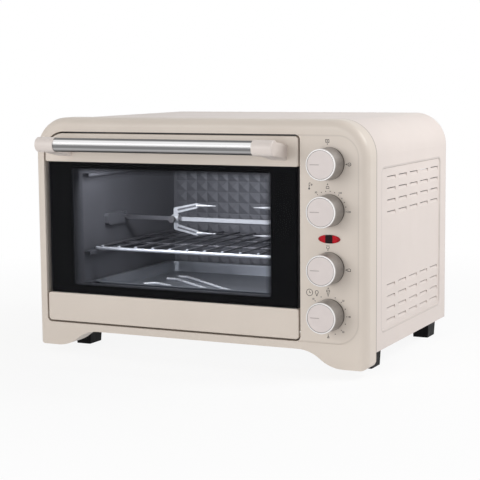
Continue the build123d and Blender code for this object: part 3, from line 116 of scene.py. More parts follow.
# the door's clear window: left, right, bottom, top; and how wide the black border's dots
# fade into it at the left, right, top and bottom
CLEAR_WINDOW = (-0.2055, 0.1195, 0.1043, 0.279)
FRIT_FADE = (20 * MM, 8 * MM, 8 * MM, 5 * MM)
FRIT_PITCH = 2.7 * MM
# the red lens, from its middle outwards: the lamp's dark well and the darker rim, both painted
# shade
LENS_WELL = (4.8 * MM, 6.0 * MM)
LENS_RIM = (9.5 * MM, 15.5 * MM)
# the dials, from the panel forwards and from the axis outwards: the foot's painted shade, the
# lip's painted highlight, the cap's painted shade line at its seat, and the pointer
DIAL_FOOT = (2.0 * MM, 3.4 * MM)
DIAL_LIP = 30.9 * MM
CAP_SEAT = 18.7 * MM
POINTER_HALF = (0.5 * MM, 0.7 * MM)
POINTER_INNER = (1.8 * MM, 2.4 * MM)
POINTER_OUTER = (15.2 * MM, 15.8 * MM)

# A crease is the edge of a pressed field: the axis it runs along, its limits, the radius of
# its corners, the width of the line and how strong the painted shade along it is.
Crease = namedtuple("Crease", "axis left right bottom top corner width dirt")
PANEL_CREASE = Crease(0, 0.100, 0.252, 0.0475, 0.332, 30 * MM, 1.5 * MM, 0.20)
SIDE_CREASE = Crease(1, FRONT_Y + 0.073, FRONT_Y + 0.340, 0.053, 0.2843, 9 * MM, 2.2 * MM, 0.30)

# Scale of the fine grain, in cells per metre, and roughness
ENAMEL = (900.0, 0.42)
PLASTIC = (1100.0, 0.40)


# Camera, from a fit to the photograph
CAMERA_PLACE = (0.9136, -1.9022, 0.41725)
CAMERA_YAW = math.radians(25.65)
CAMERA_DOWN = math.radians(6.86)
CAMERA_ROLL = math.radians(-0.49)
CAMERA_LENS = 104.37


def make_camera():
    data = bpy.data.cameras.new("camera")
    data.lens = CAMERA_LENS
    data.sensor_width = 36.0
    data.clip_start = 0.05
    data.clip_end = 60.0
    camera = bpy.data.objects.new("camera", data)
    scene.collection.objects.link(camera)
    level = math.cos(CAMERA_DOWN)
    forward = Vector((-math.sin(CAMERA_YAW) * level, math.cos(CAMERA_YAW) * level,
                      -math.sin(CAMERA_DOWN)))
    side = forward.cross(Vector((0, 0, 1))).normalized()
    up = side.cross(forward)
    right = side * math.cos(CAMERA_ROLL) + up * math.sin(CAMERA_ROLL)
    upright = up * math.cos(CAMERA_ROLL) - side * math.sin(CAMERA_ROLL)
    turn = Matrix((right, upright, -forward)).transposed().to_4x4()
    camera.matrix_world = Matrix.Translation(CAMERA_PLACE) @ turn
    scene.camera = camera


# Node graph helpers
class Graph:
    """The node tree of a material or world, with short calls for what this scene uses.

    Noise scales are in cells per metre, because the coordinates are in metres."""

    def __init__(self, owner, output="ShaderNodeOutputMaterial"):
        self.owner = owner
        owner.use_nodes = True
        self.tree = owner.node_tree
        self.tree.nodes.clear()
        self.output = self.add(output)
        self.coordinates = None

    def add(self, kind, **settings):
        node = self.tree.nodes.new(kind)
        for key, value in settings.items():
            setattr(node, key, value)
        return node

    def put(self, socket, value):
        if isinstance(value, bpy.types.NodeSocket):
            self.tree.links.new(value, socket)
        elif isinstance(value, (tuple, list)) and len(value) == 3 and socket.type == "RGBA":
            socket.default_value = (*value, 1.0)
        else:
            socket.default_value = value

    def place(self, stretch=(1, 1, 1), centre=(0, 0, 0)):
        """Object coordinates, moved so that centre is the origin, then stretched."""
        if self.coordinates is None:
            self.coordinates = self.add("ShaderNodeTexCoord").outputs["Object"]
        moved = self.add("ShaderNodeVectorMath", operation="SUBTRACT")
        self.put(moved.inputs[0], self.coordinates)
        self.put(moved.inputs[1], centre)
        scaled = self.add("ShaderNodeVectorMath", operation="MULTIPLY")
        self.put(scaled.inputs[0], moved.outputs[0])
        self.put(scaled.inputs[1], stretch)
        return scaled.outputs[0]

    def split(self, vector=None):
        """X, Y and Z of a vector, or of the object coordinates."""
        node = self.add("ShaderNodeSeparateXYZ")
        self.put(node.inputs[0], self.place() if vector is None else vector)
        return node.outputs

    def join(self, x, y=0.0):
        node = self.add("ShaderNodeCombineXYZ")
        self.put(node.inputs[0], x)
        self.put(node.inputs[1], y)
        return node.outputs[0]

    def noise(self, scale, detail=3.0, rough=0.5, at=None):
        node = self.add("ShaderNodeTexNoise")
        self.put(node.inputs["Vector"], self.place() if at is None else at)
        node.inputs["Scale"].default_value = scale
        node.inputs["Detail"].default_value = detail
        node.inputs["Roughness"].default_value = rough
        return node.outputs["Fac"]

    def math(self, operation, a, b=0.0):
        node = self.add("ShaderNodeMath", operation=operation)
        self.put(node.inputs[0], a)
        self.put(node.inputs[1], b)
        return node.outputs[0]

    def length(self, a, b):
        """Length of a vector with these two parts."""
        squares = self.math("ADD", self.math("MULTIPLY", a, a), self.math("MULTIPLY", b, b))
        return self.math("SQRT", squares)

    def share(self, a, b, part):
        """A part of a and the rest of b, added up."""
        rest = self.math("MULTIPLY", b, 1.0 - part)
        return self.math("ADD", self.math("MULTIPLY", a, part), rest)

    def span(self, value, low, high, new_low=0.0, new_high=1.0):
        node = self.add("ShaderNodeMapRange", clamp=True)
        for socket, number in zip(node.inputs, (value, low, high, new_low, new_high)):
            self.put(socket, number)
        return node.outputs[0]

    def blend(self, factor, a, b, kind="MIX"):
        node = self.add("ShaderNodeMix", data_type="RGBA", blend_type=kind)
        self.put(node.inputs["Factor"], factor)
        self.put(node.inputs[6], a)
        self.put(node.inputs[7], b)
        return node.outputs[2]

    def bump(self, height, distance, strength, under=None):
        node = self.add("ShaderNodeBump")
        node.inputs["Strength"].default_value = strength
        node.inputs["Distance"].default_value = distance
        self.put(node.inputs["Height"], height)
        if under is not None:
            self.put(node.inputs["Normal"], under)
        return node.outputs["Normal"]

    def coloured(self, kind, colour, **values):
        """A plain shader node of this kind."""
        node = self.add(kind)
        self.put(node.inputs["Color"], colour)
        for key, value in values.items():
            self.put(node.inputs[key], value)
        return node

    def mixed(self, factor, a, b):
        """Two shader nodes mixed."""
        node = self.add("ShaderNodeMixShader")
        for socket, value in zip(node.inputs, (factor, a.outputs[0], b.outputs[0])):
            self.put(socket, value)
        return node

    def surface(self, base, rough, **values):
        node = self.add("ShaderNodeBsdfPrincipled")
        self.put(node.inputs["Base Color"], base)
        self.put(node.inputs["Roughness"], rough)
        for key, value in values.items():
            self.put(node.inputs[key.replace("_", " ")], value)
        return node

    def seen_rays(self):
        """1 where the ray comes from the camera, a reflection or through glass."""
        path = self.add("ShaderNodeLightPath").outputs
        seen = self.math("MAXIMUM", path["Is Camera Ray"], path["Is Glossy Ray"])
        return self.math("MAXIMUM", seen, path["Is Transmission Ray"])

    def close(self, shader):
        self.put(self.output.inputs["Surface"], shader.outputs[0])
        return self.owner


def new_graph(name):
    return Graph(bpy.data.materials.new(name))


# Materials
def crease_line(g, crease):
    """1 on the edge of a pressed field, which is a rounded rectangle, and 0 beside it."""
    place = g.split()
    over = []
    for at, low, high in ((place[crease.axis], crease.left, crease.right),
                          (place[2], crease.bottom, crease.top)):
        off = g.math("ABSOLUTE", g.math("SUBTRACT", at, (low + high) / 2))
        over.append(g.math("SUBTRACT", off, (high - low) / 2 - crease.corner))
    outer = g.length(*(g.math("MAXIMUM", part, 0.0) for part in over))
    inner = g.math("MINIMUM", g.math("MAXIMUM", *over), 0.0)
    away = g.math("SUBTRACT", g.math("ADD", outer, inner), crease.corner)
    return g.span(g.math("ABSOLUTE", away), crease.width * 0.4, crease.width, 1.0, 0.0)


def paint(name, colour, finish, seam=None, crease=None):
    """Satin paint or moulded skin: fine orange peel, faint mottling, uneven gloss. Painted shade
    sits just in front of a seam and, fainter, along the crease of a pressed field."""
    g = new_graph(name)
    grain, roughness = finish
    drift = g.noise(9.0, 2.0)
    fleck = g.noise(1400.0, 2.0)
    base = g.blend(g.span(drift, 0.3, 0.7), shade(colour, 0.975), shade(colour, 1.015))
    base = g.blend(g.span(fleck, 0.35, 0.65, 0.0, 0.06), base, shade(colour, 0.86))
    # painted shade: brown dark just in front of the seam at the frame's rear edge
    if seam:
        y = g.split()[1]
        near = g.span(y, seam - 2.2 * MM, seam - 1.2 * MM, 0.0, SEAM_SHADE)
        before = g.math("LESS_THAN", y, seam - 0.05 * MM)
        base = g.blend(g.math("MULTIPLY", near, before), base, SEAM_SHADE_BROWN)
    # painted shade: a dark line along the crease of a pressed field
    if crease:
        dirt = g.math("MULTIPLY", crease_line(g, crease), crease.dirt)
        base = g.blend(dirt, base, shade(colour, 0.45))
    normal = g.bump(g.noise(70.0, 1.0), 150 * MICRON, 0.2)
    normal = g.bump(g.noise(grain, 3.0, 0.55), 50 * MICRON, 0.5, normal)
    rough = g.span(g.noise(30.0, 4.0), 0.3, 0.7, roughness - 0.04, roughness + 0.05)
    return g.close(g.surface(base, rough, Normal=normal, Specular_IOR_Level=0.45))


def brushed(name, colour, along, roughness):
    """Metal with fine lines along one axis."""
    g = new_graph(name)
    stretch = [1.0, 1.0, 1.0]
    stretch["xyz".index(along)] = 0.012
    lines = g.noise(2600.0, 2.0, 0.6, g.place(stretch))
    mix = g.share(lines, g.noise(500.0, 2.0, 0.5, g.place(stretch)), 0.6)
    base = g.blend(g.span(mix, 0.35, 0.65), shade(colour, 0.88), shade(colour, 1.12))
    rough = g.span(mix, 0.35, 0.65, roughness + 0.05, roughness - 0.04)
    return g.close(g.surface(base, rough, Metallic=1.0, Normal=g.bump(lines, 30 * MICRON, 0.6)))


def handle_metal(name):
    """Brushed tube with fine lines along it. Its tones follow the height across the tube, as
    the photograph's room isn't there to be mirrored: a painted reflection, with painted highlight
    bands and painted shade."""
    g = new_graph(name)
    low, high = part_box("handle_tube")
    middle, radius = (low.z + high.z) / 2, (high.z - low.z) / 2
    along = (0.012, 1.0, 1.0)
    lines = g.noise(2600.0, 2.0, 0.6, g.place(along))
    mix = g.share(lines, g.noise(420.0, 2.0, 0.5, g.place(along)), 0.5)
    height = g.split(g.place((1, 1, 1.0 / radius), (0, 0, middle)))[2]
    # painted reflection: light and dark bands by height across the tube
    ramp = g.add("ShaderNodeValToRGB")
    g.put(ramp.inputs[0], g.span(height, -1.0, 1.0))
    stops = ramp.color_ramp.elements
    for place, _ in HANDLE_REFLECTION_TONES[1:-1]:
        stops.new(place)
    for stop, (place, tone) in zip(stops, HANDLE_REFLECTION_TONES):
        stop.position = place
        stop.color = (tone, tone * 0.99, tone * 0.995, 1.0)
    streaks = g.blend(g.span(mix, 0.35, 0.65), (0.86, 0.86, 0.86), (1.0, 1.0, 1.0))
    base = g.blend(1.0, ramp.outputs[0], streaks, "MULTIPLY")
    rough = g.span(mix, 0.35, 0.65, 0.36, 0.27)
    return g.close(g.surface(base, rough, Metallic=1.0, Normal=g.bump(lines, 30 * MICRON, 0.6)))


def sheet_steel(name, colour, roughness, spangle=0.0, metallic=1.0, soft=0.0):
    """Rolled sheet: faint rolling lines, handling marks and spangle. Soft is the share of a
    pressed pattern's relief that the dull coating hides on a sheet that faces the door."""
    g = new_graph(name)
    roll = g.noise(900.0, 2.0, 0.5, g.place((1.0, 1.0, 0.03)))
    cloud = g.noise(24.0, 4.0, 0.6)
    base = g.blend(g.span(cloud, 0.3, 0.7), shade(colour, 0.9), shade(colour, 1.08))
    base = g.blend(g.span(roll, 0.35, 0.65, 0.0, 0.18), base, shade(colour, 0.75))
    if spangle:
        crystal = g.add("ShaderNodeTexVoronoi")
        g.put(crystal.inputs["Vector"], g.place())
        g.put(crystal.inputs["Scale"], 260.0)
        tone = g.add("ShaderNodeSeparateColor")
        g.put(tone.inputs[0], crystal.outputs["Color"])
        base = g.blend(g.math("MULTIPLY", tone.outputs[0], spangle), base, shade(colour, 1.35))
    normal = g.bump(roll, 30 * MICRON, 0.4)
    if soft:
        flat = g.add("ShaderNodeMix", data_type="VECTOR")
        g.put(flat.inputs["Factor"], soft)
        g.put(flat.inputs[4], normal)
        g.put(flat.inputs[5], (0.0, -1.0, 0.0))
        even = g.add("ShaderNodeVectorMath", operation="NORMALIZE")
        g.put(even.inputs[0], flat.outputs[1])
        normal = even.outputs[0]
    rough = g.span(cloud, 0.3, 0.7, roughness - 0.06, roughness + 0.08)
    return g.close(g.surface(base, rough, Metallic=metallic, Normal=normal))


def wire_metal(name, colour, roughness, metallic=1.0, dull=None):
    """Plated wire with faint drawing lines and dulled patches. Dull gives an axis and two
    places: from the first to the second the wire turns dark, as painted shade."""
    g = new_graph(name)
    patch = g.noise(120.0)
    base = g.blend(g.span(patch, 0.35, 0.7), colour, shade(colour, 0.86))
    # painted shade: the wire darkens past a place along one axis
    if dull:
        axis, bright, dark = dull
        at = g.split()["xyz".index(axis)]
        change = g.span(at, min(bright, dark), max(bright, dark),
                        float(dark < bright), float(dark > bright))
        darkened = g.blend(patch, (0.10, 0.10, 0.11), (0.15, 0.15, 0.165))
        base = g.blend(change, base, darkened)
    rough = g.span(patch, 0.3, 0.7, roughness, roughness + 0.12)
    normal = g.bump(g.noise(1800.0, 2.0), 30 * MICRON, 0.4)
    return g.close(g.surface(base, rough, Metallic=metallic, Normal=normal))


def fork_metal(name):
    """Stamped plated strip: bright lands, and grooves darkened with painted shade."""
    g = new_graph(name)
    x, y, _ = g.split(g.place(centre=FORK_MIDDLE))
    patch = g.noise(150.0)
    base = g.blend(g.span(patch, 0.35, 0.7), SPIT_GREY, shade(SPIT_GREY, 0.88))
    # painted shade in the grooves of the forks
    sunk = g.span(g.math("ABSOLUTE", y), FORK_GROOVE - 0.2 * MM, FORK_GROOVE, 1.0, 0.0)
    strip = g.math("GREATER_THAN", g.math("ABSOLUTE", x), FORK_STRIP)
    base = g.blend(g.math("MULTIPLY", sunk, strip), base, (0.14, 0.14, 0.15))
    rough = g.span(patch, 0.3, 0.7, 0.42, 0.52)
    normal = g.bump(g.noise(1500.0, 2.0), 30 * MICRON, 0.4)
    return g.close(g.surface(base, rough, Metallic=0.55, Normal=normal))


def rubber(name):
    """Black rubber with a little dust in patches."""
    g = new_graph(name)
    dust = g.span(g.noise(60.0, 5.0, 0.7), 0.5, 0.75, 0.0, 0.3)
    base = g.blend(dust, RUBBER_BLACK, (0.016, 0.015, 0.015))
    rough = g.span(g.noise(90.0), 0.3, 0.7, 0.42, 0.58)
    normal = g.bump(g.noise(2200.0), 60 * MICRON, 0.7)
    return g.close(g.surface(base, rough, Normal=normal, Specular_IOR_Level=0.08))


def moulded(name, colour, roughness):
    """Matt moulded plastic or ceramic with a fine spark-eroded grain."""
    g = new_graph(name)
    base = g.blend(g.span(g.noise(40.0), 0.3, 0.7), shade(colour, 0.92), shade(colour, 1.06))
    rough = g.span(g.noise(120.0), 0.3, 0.7, roughness - 0.05, roughness + 0.06)
    return g.close(g.surface(base, rough, Normal=g.bump(g.noise(1500.0, 2.0), 50 * MICRON, 0.6)))


def heater_skin(name):
    """Sheathed rod: dark oxidised metal, tinted by heat in bands."""
    g = new_graph(name)
    band = g.noise(26.0, 3.0, 0.6, g.place((1.0, 0.2, 0.2)))
    base = g.blend(g.span(band, 0.35, 0.65), (0.030, 0.028, 0.028), (0.060, 0.052, 0.046))
    rough = g.span(band, 0.3, 0.7, 0.5, 0.38)
    normal = g.bump(g.noise(1500.0), 60 * MICRON, 0.6)
    return g.close(g.surface(base, rough, Metallic=0.7, Normal=normal))


def glass_skin(g, under, shine):
    """What is under it, with a mirror skin and faint wipe marks on top."""
    smear = g.noise(16.0, 4.0, 0.6, g.place((1.0, 1.0, 0.35)))
    gloss = g.coloured("ShaderNodeBsdfGlossy", (1.0, 1.0, 1.0),
                       Roughness=g.span(smear, 0.35, 0.7, 0.02, 0.07))
    fresnel = g.add("ShaderNodeFresnel")
    g.put(fresnel.inputs["IOR"], shine)
    return g.mixed(fresnel.outputs[0], under, gloss)


def lamp_glass(name):
    g = new_graph(name)
    return g.close(glass_skin(g, g.coloured("ShaderNodeBsdfTransparent", LAMP_TINT), LAMP_SHINE))


def door_pane(name):
    """Door glass: clear pane, with a black border baked on its rear face that breaks up
    into dots towards the window."""
    g = new_graph(name)
    x, y, z = g.split()
    x0, x1, z0, z1 = CLEAR_WINDOW
    gaps = (g.math("SUBTRACT", x, x0), g.math("SUBTRACT", x1, x),
            g.math("SUBTRACT", z1, z), g.math("SUBTRACT", z, z0))
    # 0 on the window's edge and 1 where the dots have faded away
    inside = None
    for gap, fade in zip(gaps, FRIT_FADE):
        side = g.math("DIVIDE", gap, fade)
        inside = side if inside is None else g.math("MINIMUM", inside, side)
    turn = 2.0 * math.pi / FRIT_PITCH
    waves = [g.math("COSINE", g.math("MULTIPLY", g.math(way, x, z), turn))
             for way in ("ADD", "SUBTRACT")]
    dots = g.math("MULTIPLY", g.math("ADD", *waves), 0.25)
    cover = g.math("SUBTRACT", g.span(inside, 0.0, 1.0, 0.22, -0.30),
                   g.math("GREATER_THAN", inside, 1.0))
    halftone = g.span(g.math("ADD", dots, cover), -0.04, 0.04)
    solid = g.math("LESS_THAN", inside, 0.0)
    rear = g.math("GREATER_THAN", y, GLASS_REAR)
    frit = g.math("MULTIPLY", g.math("MAXIMUM", solid, halftone), rear)
    black = g.blend(g.noise(300.0), (0.0016, 0.0016, 0.0022), (0.003, 0.003, 0.0038))
    border = g.surface(black, 0.5, Specular_IOR_Level=0.0)
    clear = g.coloured("ShaderNodeBsdfTransparent", GLASS_TINT)
    return g.close(glass_skin(g, g.mixed(frit, clear, border), DOOR_SHINE))


def pilot_lens(name):
    """Red lens with painted shade: the dark lamp well in its middle and a darker rim."""
    g = new_graph(name)
    low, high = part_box("indicator_lens")
    off = g.math("ABSOLUTE", g.split(g.place(centre=(low + high) / 2))[0])
    tone = g.noise(260.0, 2.0)
    red = g.blend(g.span(tone, 0.3, 0.7), (0.44, 0.004, 0.012), (0.56, 0.010, 0.020))
    # painted shade: the rim darkened
    red = g.blend(g.span(off, *LENS_RIM, 0.0, 0.55), red, (0.16, 0.008, 0.012))
    # painted shade: the lamp's dark well in the middle
    base = g.blend(g.span(off, *LENS_WELL, 1.0, 0.0), red, (0.012, 0.003, 0.004))
    normal = g.bump(g.noise(500.0, 1.0), 40 * MICRON, 0.4)
    return g.close(g.surface(base, 0.22, Normal=normal, Specular_IOR_Level=0.12))


def ink(name):
    """Screen print: a slightly uneven layer of ink."""
    g = new_graph(name)
    cover = g.span(g.noise(700.0), 0.3, 0.7)
    base = g.blend(cover, shade(PRINT_GREY, 0.85), shade(PRINT_GREY, 1.2))
    return g.close(g.surface(base, 0.4, Normal=g.bump(g.noise(1200.0, 2.0), 20 * MICRON, 0.5)))


def dial_centre(name):
    """Where the dial's axis meets the panel."""
    low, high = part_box(name + "_dial")
    return ((low.x + high.x) / 2, high.y, (low.z + high.z) / 2)


def dial_skirt(name, centre):
    """Turned aluminium: lathe lines round the axis and streaks along it, a dark foot at the
    panel, partly the base flange and partly painted shade, and a pale lip round the face, a
    painted highlight."""
    g = new_graph(name)
    x, y, z = g.split(g.place(centre=centre))
    turned = g.math("ADD", g.math("MULTIPLY", g.length(x, z), 3.0), y)
    lines = g.noise(3800.0, 2.0, 0.6, g.join(turned))
    spoke = g.join(g.math("ARCTAN2", x, z), g.math("MULTIPLY", y, 12.0))
    mix = g.share(lines, g.noise(26.0, 2.0, 0.6, spoke), 0.45)
    base = g.blend(g.span(mix, 0.35, 0.65), shade(SKIRT_GREY, 0.86), shade(SKIRT_GREY, 1.12))
    # painted shade at the foot, where the skirt meets the panel
    near, far = DIAL_FOOT
    base = g.blend(g.span(y, -far, -near, 0.0, 0.88), base, (0.035, 0.03, 0.028))
    # painted highlight: a pale, less metallic lip round the face
    lip = g.span(y, -DIAL_LIP, 0.4 * MM - DIAL_LIP, 1.0, 0.0)
    base = g.blend(lip, base, (0.82, 0.80, 0.79))
    rough = g.span(mix, 0.35, 0.65, 0.42, 0.33)
    metallic = g.span(lip, 0.0, 1.0, 1.0, 0.35)
    normal = g.bump(lines, 30 * MICRON, 0.5)
    return g.close(g.surface(base, rough, Metallic=metallic, Normal=normal))


def dial_face(name, centre):
    """Satin cap: a dark seat line round its edge, painted shade in the groove by the skirt, and
    the pointer, darkened by half.
    """
    g = new_graph(name)
    x, _, z = g.split(g.place(centre=centre))
    base = g.blend(g.span(g.noise(60.0), 0.3, 0.7), shade(CAP_PINK, 0.975), shade(CAP_PINK, 1.02))
    # painted shade: a dark line round the cap's seat
    seat = g.span(g.length(x, z), CAP_SEAT, CAP_SEAT + 0.4 * MM, 0.0, 0.8)
    base = g.blend(seat, base, (0.12, 0.105, 0.10))
    # the pointer, darkened by half
    beside = g.span(g.math("ABSOLUTE", z), *POINTER_HALF, 1.0, 0.0)
    out = g.math("MULTIPLY", x, -1.0)
    length = g.math("MULTIPLY", g.span(out, *POINTER_INNER), g.span(out, *POINTER_OUTER, 1.0, 0.0))
    pointer = g.math("MULTIPLY", beside, length)
    base = g.blend(g.math("MULTIPLY", pointer, 0.5), base, (0.22, 0.19, 0.185))
    rough = g.span(g.noise(30.0, 4.0), 0.3, 0.7, 0.34, 0.42)
    normal = g.bump(g.noise(1600.0, 3.0, 0.55), 40 * MICRON, 0.4)
    return g.close(g.surface(base, rough, Normal=normal))


def make_materials():
    """Materials by slot, and by node where a node's looks differ from its slot's."""
    return {
        "cream_enamel": paint("cream_enamel", CREAM_SHELL, ENAMEL),
        "cream_plastic": paint("cream_plastic", CREAM_FRONT, PLASTIC),
        "rear_steel": sheet_steel("rear_steel", STEEL_REAR, 0.42, spangle=0.35),
        "cavity_steel": sheet_steel("cavity_steel", STEEL_DARK, 0.46, metallic=0.3),
        # painted light: the back wall is a lighter copy of the cavity steel
        "cavity_back_wall": sheet_steel("back_wall_steel", shade(STEEL_DARK, 1.15), 0.5,
                                        metallic=0.15, soft=0.3),
        "black_glass": door_pane("black_glass"),
        "lamp_glass": lamp_glass("lamp_glass"),
        "black_rubber": rubber("black_rubber"),
        "screw_steel": wire_metal("screw_steel", STEEL_SCREW, 0.32),
        "heater_sheath": heater_skin("heater_sheath"),
        "ceramic": moulded("ceramic", CERAMIC_WHITE, 0.55),
        "motor_metal": sheet_steel("motor_metal", STEEL_MOTOR, 0.40, spangle=0.2),
        "switch_plastic": moulded("switch_plastic", SWITCH_BLACK, 0.45),
        "brushed_handle": handle_metal("brushed_handle"),
        "chrome_wire": wire_metal("chrome_wire", WIRE_WHITE, 0.32, 0.55),
        "tray_grip": wire_metal("grip_wire", WIRE_BRIGHT, 0.25, 0.25),
        "spit_lifter": wire_metal("lifter_wire", WIRE_BRIGHT, 0.25, 0.25),
        "wire_rack": wire_metal("rack_wire", WIRE_WHITE, 0.32, 0.55, RACK_SHADE),
        "spit_rod": wire_metal("rod_wire", SPIT_GREY, 0.30, 0.55, ROD_SHADE),
        "fork_screws": wire_metal("fork_screw_steel", STEEL_FORK_SCREW, 0.4),
        "spit_forks": fork_metal("spit_forks"),
        "front_frame": paint("frame_plastic", CREAM_FRONT, PLASTIC, FRAME_REAR, PANEL_CREASE),
        "handle_arms": paint("arm_plastic", CREAM_ARMS, PLASTIC),
        "side_panels": paint("side_enamel", CREAM_SHELL, ENAMEL, crease=SIDE_CREASE),
        "black_tray": sheet_steel("black_tray", TRAY_GREY, 0.34, metallic=0.5),
        "fan_aluminium": brushed("fan_aluminium", FAN_GREY, "y", 0.32),
        "shaft_metal": brushed("shaft_metal", SHAFT_GREY, "y", 0.28),
        "print_ink": ink("print_ink"),
        "red_lens": pilot_lens("red_lens"),
    }


def dress_nodes(materials):
    slots = {part["node"]: part["material_slot"] for part in frame["record"]["subparts"]}
    for node, obj in nodes.items():
        slot = slots[node]
        if slot == "dial_metal":
            material = dial_skirt(node + "_metal", dial_centre(node.removesuffix("_dial")))
        elif slot == "dial_cap":
            material = dial_face(node + "_face", dial_centre(node.removesuffix("_dial_cap")))
        else:
            material = materials.get(node) or materials[slot]
        obj.data.materials.clear()
        obj.data.materials.append(material)


# Printed marks on the control panel. Outlines are lists of points (X, Z) in millimetres.
INK_WIDTH = 0.75
INK_DEEP = 0.08
TICK_HALF = 0.9
DOT_RADIUS = 0.7
DIGIT_SIZE = 3.4
DIGIT_BOLD = 0.06
DIGIT_BESIDE = 4.0
DIGIT_ABOVE = 3.4
PANEL_Y = FRONT_Y + 0.8 * MM


def panel_point(u, v, w):
    """A point of the frame from millimetres along the panel, up it and out of it."""
    return Vector((u * MM, PANEL_Y - w * MM, v * MM))


def stroke(points, closed=False):
    """Quads along a line, mitred where they meet."""
    count = len(points)
    sides = []
    for i, (u, v) in enumerate(points):
        if closed or i:
            before = points[i - 1]
        else:
            before = (2 * u - points[1][0], 2 * v - points[1][1])
        if closed or i < count - 1:
            after = points[(i + 1) % count]
        else:
            after = (2 * u - before[0], 2 * v - before[1])
        a = Vector((u - before[0], v - before[1])).normalized()
        b = Vector((after[0] - u, after[1] - v)).normalized()
        mean = (a + b).normalized()
        reach = INK_WIDTH / 2 / max(0.4, mean.dot(a))
        sides.append(((u - mean.y * reach, v + mean.x * reach),
                      (u + mean.y * reach, v - mean.x * reach)))
    quads = []
    for i in range(count if closed else count - 1):
        here, there = sides[i], sides[(i + 1) % count]
        quads.append([here[0], there[0], there[1], here[1]])
    return quads


def arc(u, v, radius, start, end, count):
    angles = [math.radians(start + (end - start) * i / count) for i in range(count + 1)]
    return [(u + radius * math.cos(a), v + radius * math.sin(a)) for a in angles]


def disc(u, v, radius):
    return [arc(u, v, radius, 0, 360, 16)[:-1]]


def ring(u, v, radius):
    return stroke(arc(u, v, radius, 0, 360, 24)[:-1], True)


def arrow(u, v, size, turn):
    """Filled triangle pointing towards turn degrees."""
    angles = [math.radians(turn + a) for a in (0, 125, 235)]
    return [[(u + size * math.cos(a), v + size * math.sin(a)) for a in angles]]


def box(u, v, half_u, half_v):
    return stroke([(u - half_u, v - half_v), (u + half_u, v - half_v),
                   (u + half_u, v + half_v), (u - half_u, v + half_v)], True)


def line(*points):
    return stroke(points)


SYMBOLS = (
    # function dial: above it and at its right
    box(206.8, 324.6, 2.4, 2.0) + disc(206.8, 324.6, 0.9) + arrow(206.8, 320.5, 1.2, -90),
    arrow(234.2, 293.4, 1.5, 180) + ring(238.6, 293.4, 2.2) + line((237.5, 293.0), (239.7, 293.0)),
    # temperature dial: above it and at its upper left
    arrow(207.0, 266.0, 1.4, 90)
    + line((205.0, 261.0), (205.6, 263.3), (208.6, 263.3), (209.2, 261.0))
    + line((204.6, 260.3), (209.6, 260.3)),
    line((180.0, 267.4), (180.0, 260.0)) + disc(180.0, 259.4, 1.3)
    + line((180.0, 267.2), (182.2, 267.2)) + ring(183.6, 264.9, 0.9)
    + line((180.2, 263.4), (181.6, 263.4)),
    # heat dial: above it, at its right and below it
    line((204.9, 181.8), (210.1, 181.8))
    + line((205.2, 180.6), (206.2, 177.8), (208.8, 177.8), (209.8, 180.6))
    + arrow(207.5, 175.9, 1.1, -90),
    arrow(234.2, 150.1, 1.5, 180)
    + line((236.4, 151.9), (236.4, 148.4), (240.6, 148.4), (240.6, 151.9))
    + line((237.4, 151.9), (239.6, 151.9)),
    arrow(207.8, 123.4, 1.4, 90) + box(207.8, 119.7, 2.2, 1.2)
    + line((206.2, 117.4), (207.0, 115.2), (208.6, 115.2), (209.4, 117.4))
    + arrow(207.8, 113.2, 1.0, -90),
    # timer dial: a clock and a lamp at its upper left, and its stop below
    ring(180.3, 116.2, 4.6) + line((180.3, 118.9), (180.3, 116.0), (182.4, 116.0)),
    stroke(arc(191.0, 117.1, 2.3, -58, 238, 16)) + line((189.9, 115.2), (190.1, 113.4))
    + line((192.1, 115.2), (191.9, 113.4)) + disc(191.0, 112.6, 1.0),
    arrow(207.9, 56.6, 1.2, 90),
)
RING_X = 207.8
SCALES = (
    # centre Z, radius, first angle, step, number of marks, {mark: number}
    (230.2, 26.4, 126.0, -14.2, 10, {0: "50", 5: "150", 9: "230"}),
    (85.8, 27.2, 135.0, -22.5, 11, {0: "10", 4: "30", 6: "40", 8: "50", 10: "60"}),
)


def add_outlines(bm, outlines):
    """Each outline as a closed plate, as thick as the ink."""
    for outline in outlines:
        low = [bm.verts.new(panel_point(u, v, 0.0)) for u, v in outline]
        high = [bm.verts.new(panel_point(u, v, INK_DEEP)) for u, v in outline]
        count = len(outline)
        for i in range(count):
            j = (i + 1) % count
            bm.faces.new((low[i], low[j], high[j], high[i]))
        bm.faces.new(low[::-1])
        bm.faces.new(high)


def digits(text, u, v):
    """A number standing on the panel, as a mesh."""
    curve = bpy.data.curves.new("digits", "FONT")
    curve.body = text
    curve.size = DIGIT_SIZE
    curve.offset = DIGIT_BOLD
    curve.extrude = INK_DEEP / 2
    curve.align_x = "CENTER"
    curve.align_y = "CENTER"
    holder = bpy.data.objects.new("digits", curve)
    scene.collection.objects.link(holder)
    mesh = bpy.data.meshes.new_from_object(holder)
    bpy.data.objects.remove(holder)
    for vert in mesh.vertices:
        across, up, out = vert.co
        vert.co = panel_point(u + across, v + up, out + INK_DEEP / 2)
    return mesh


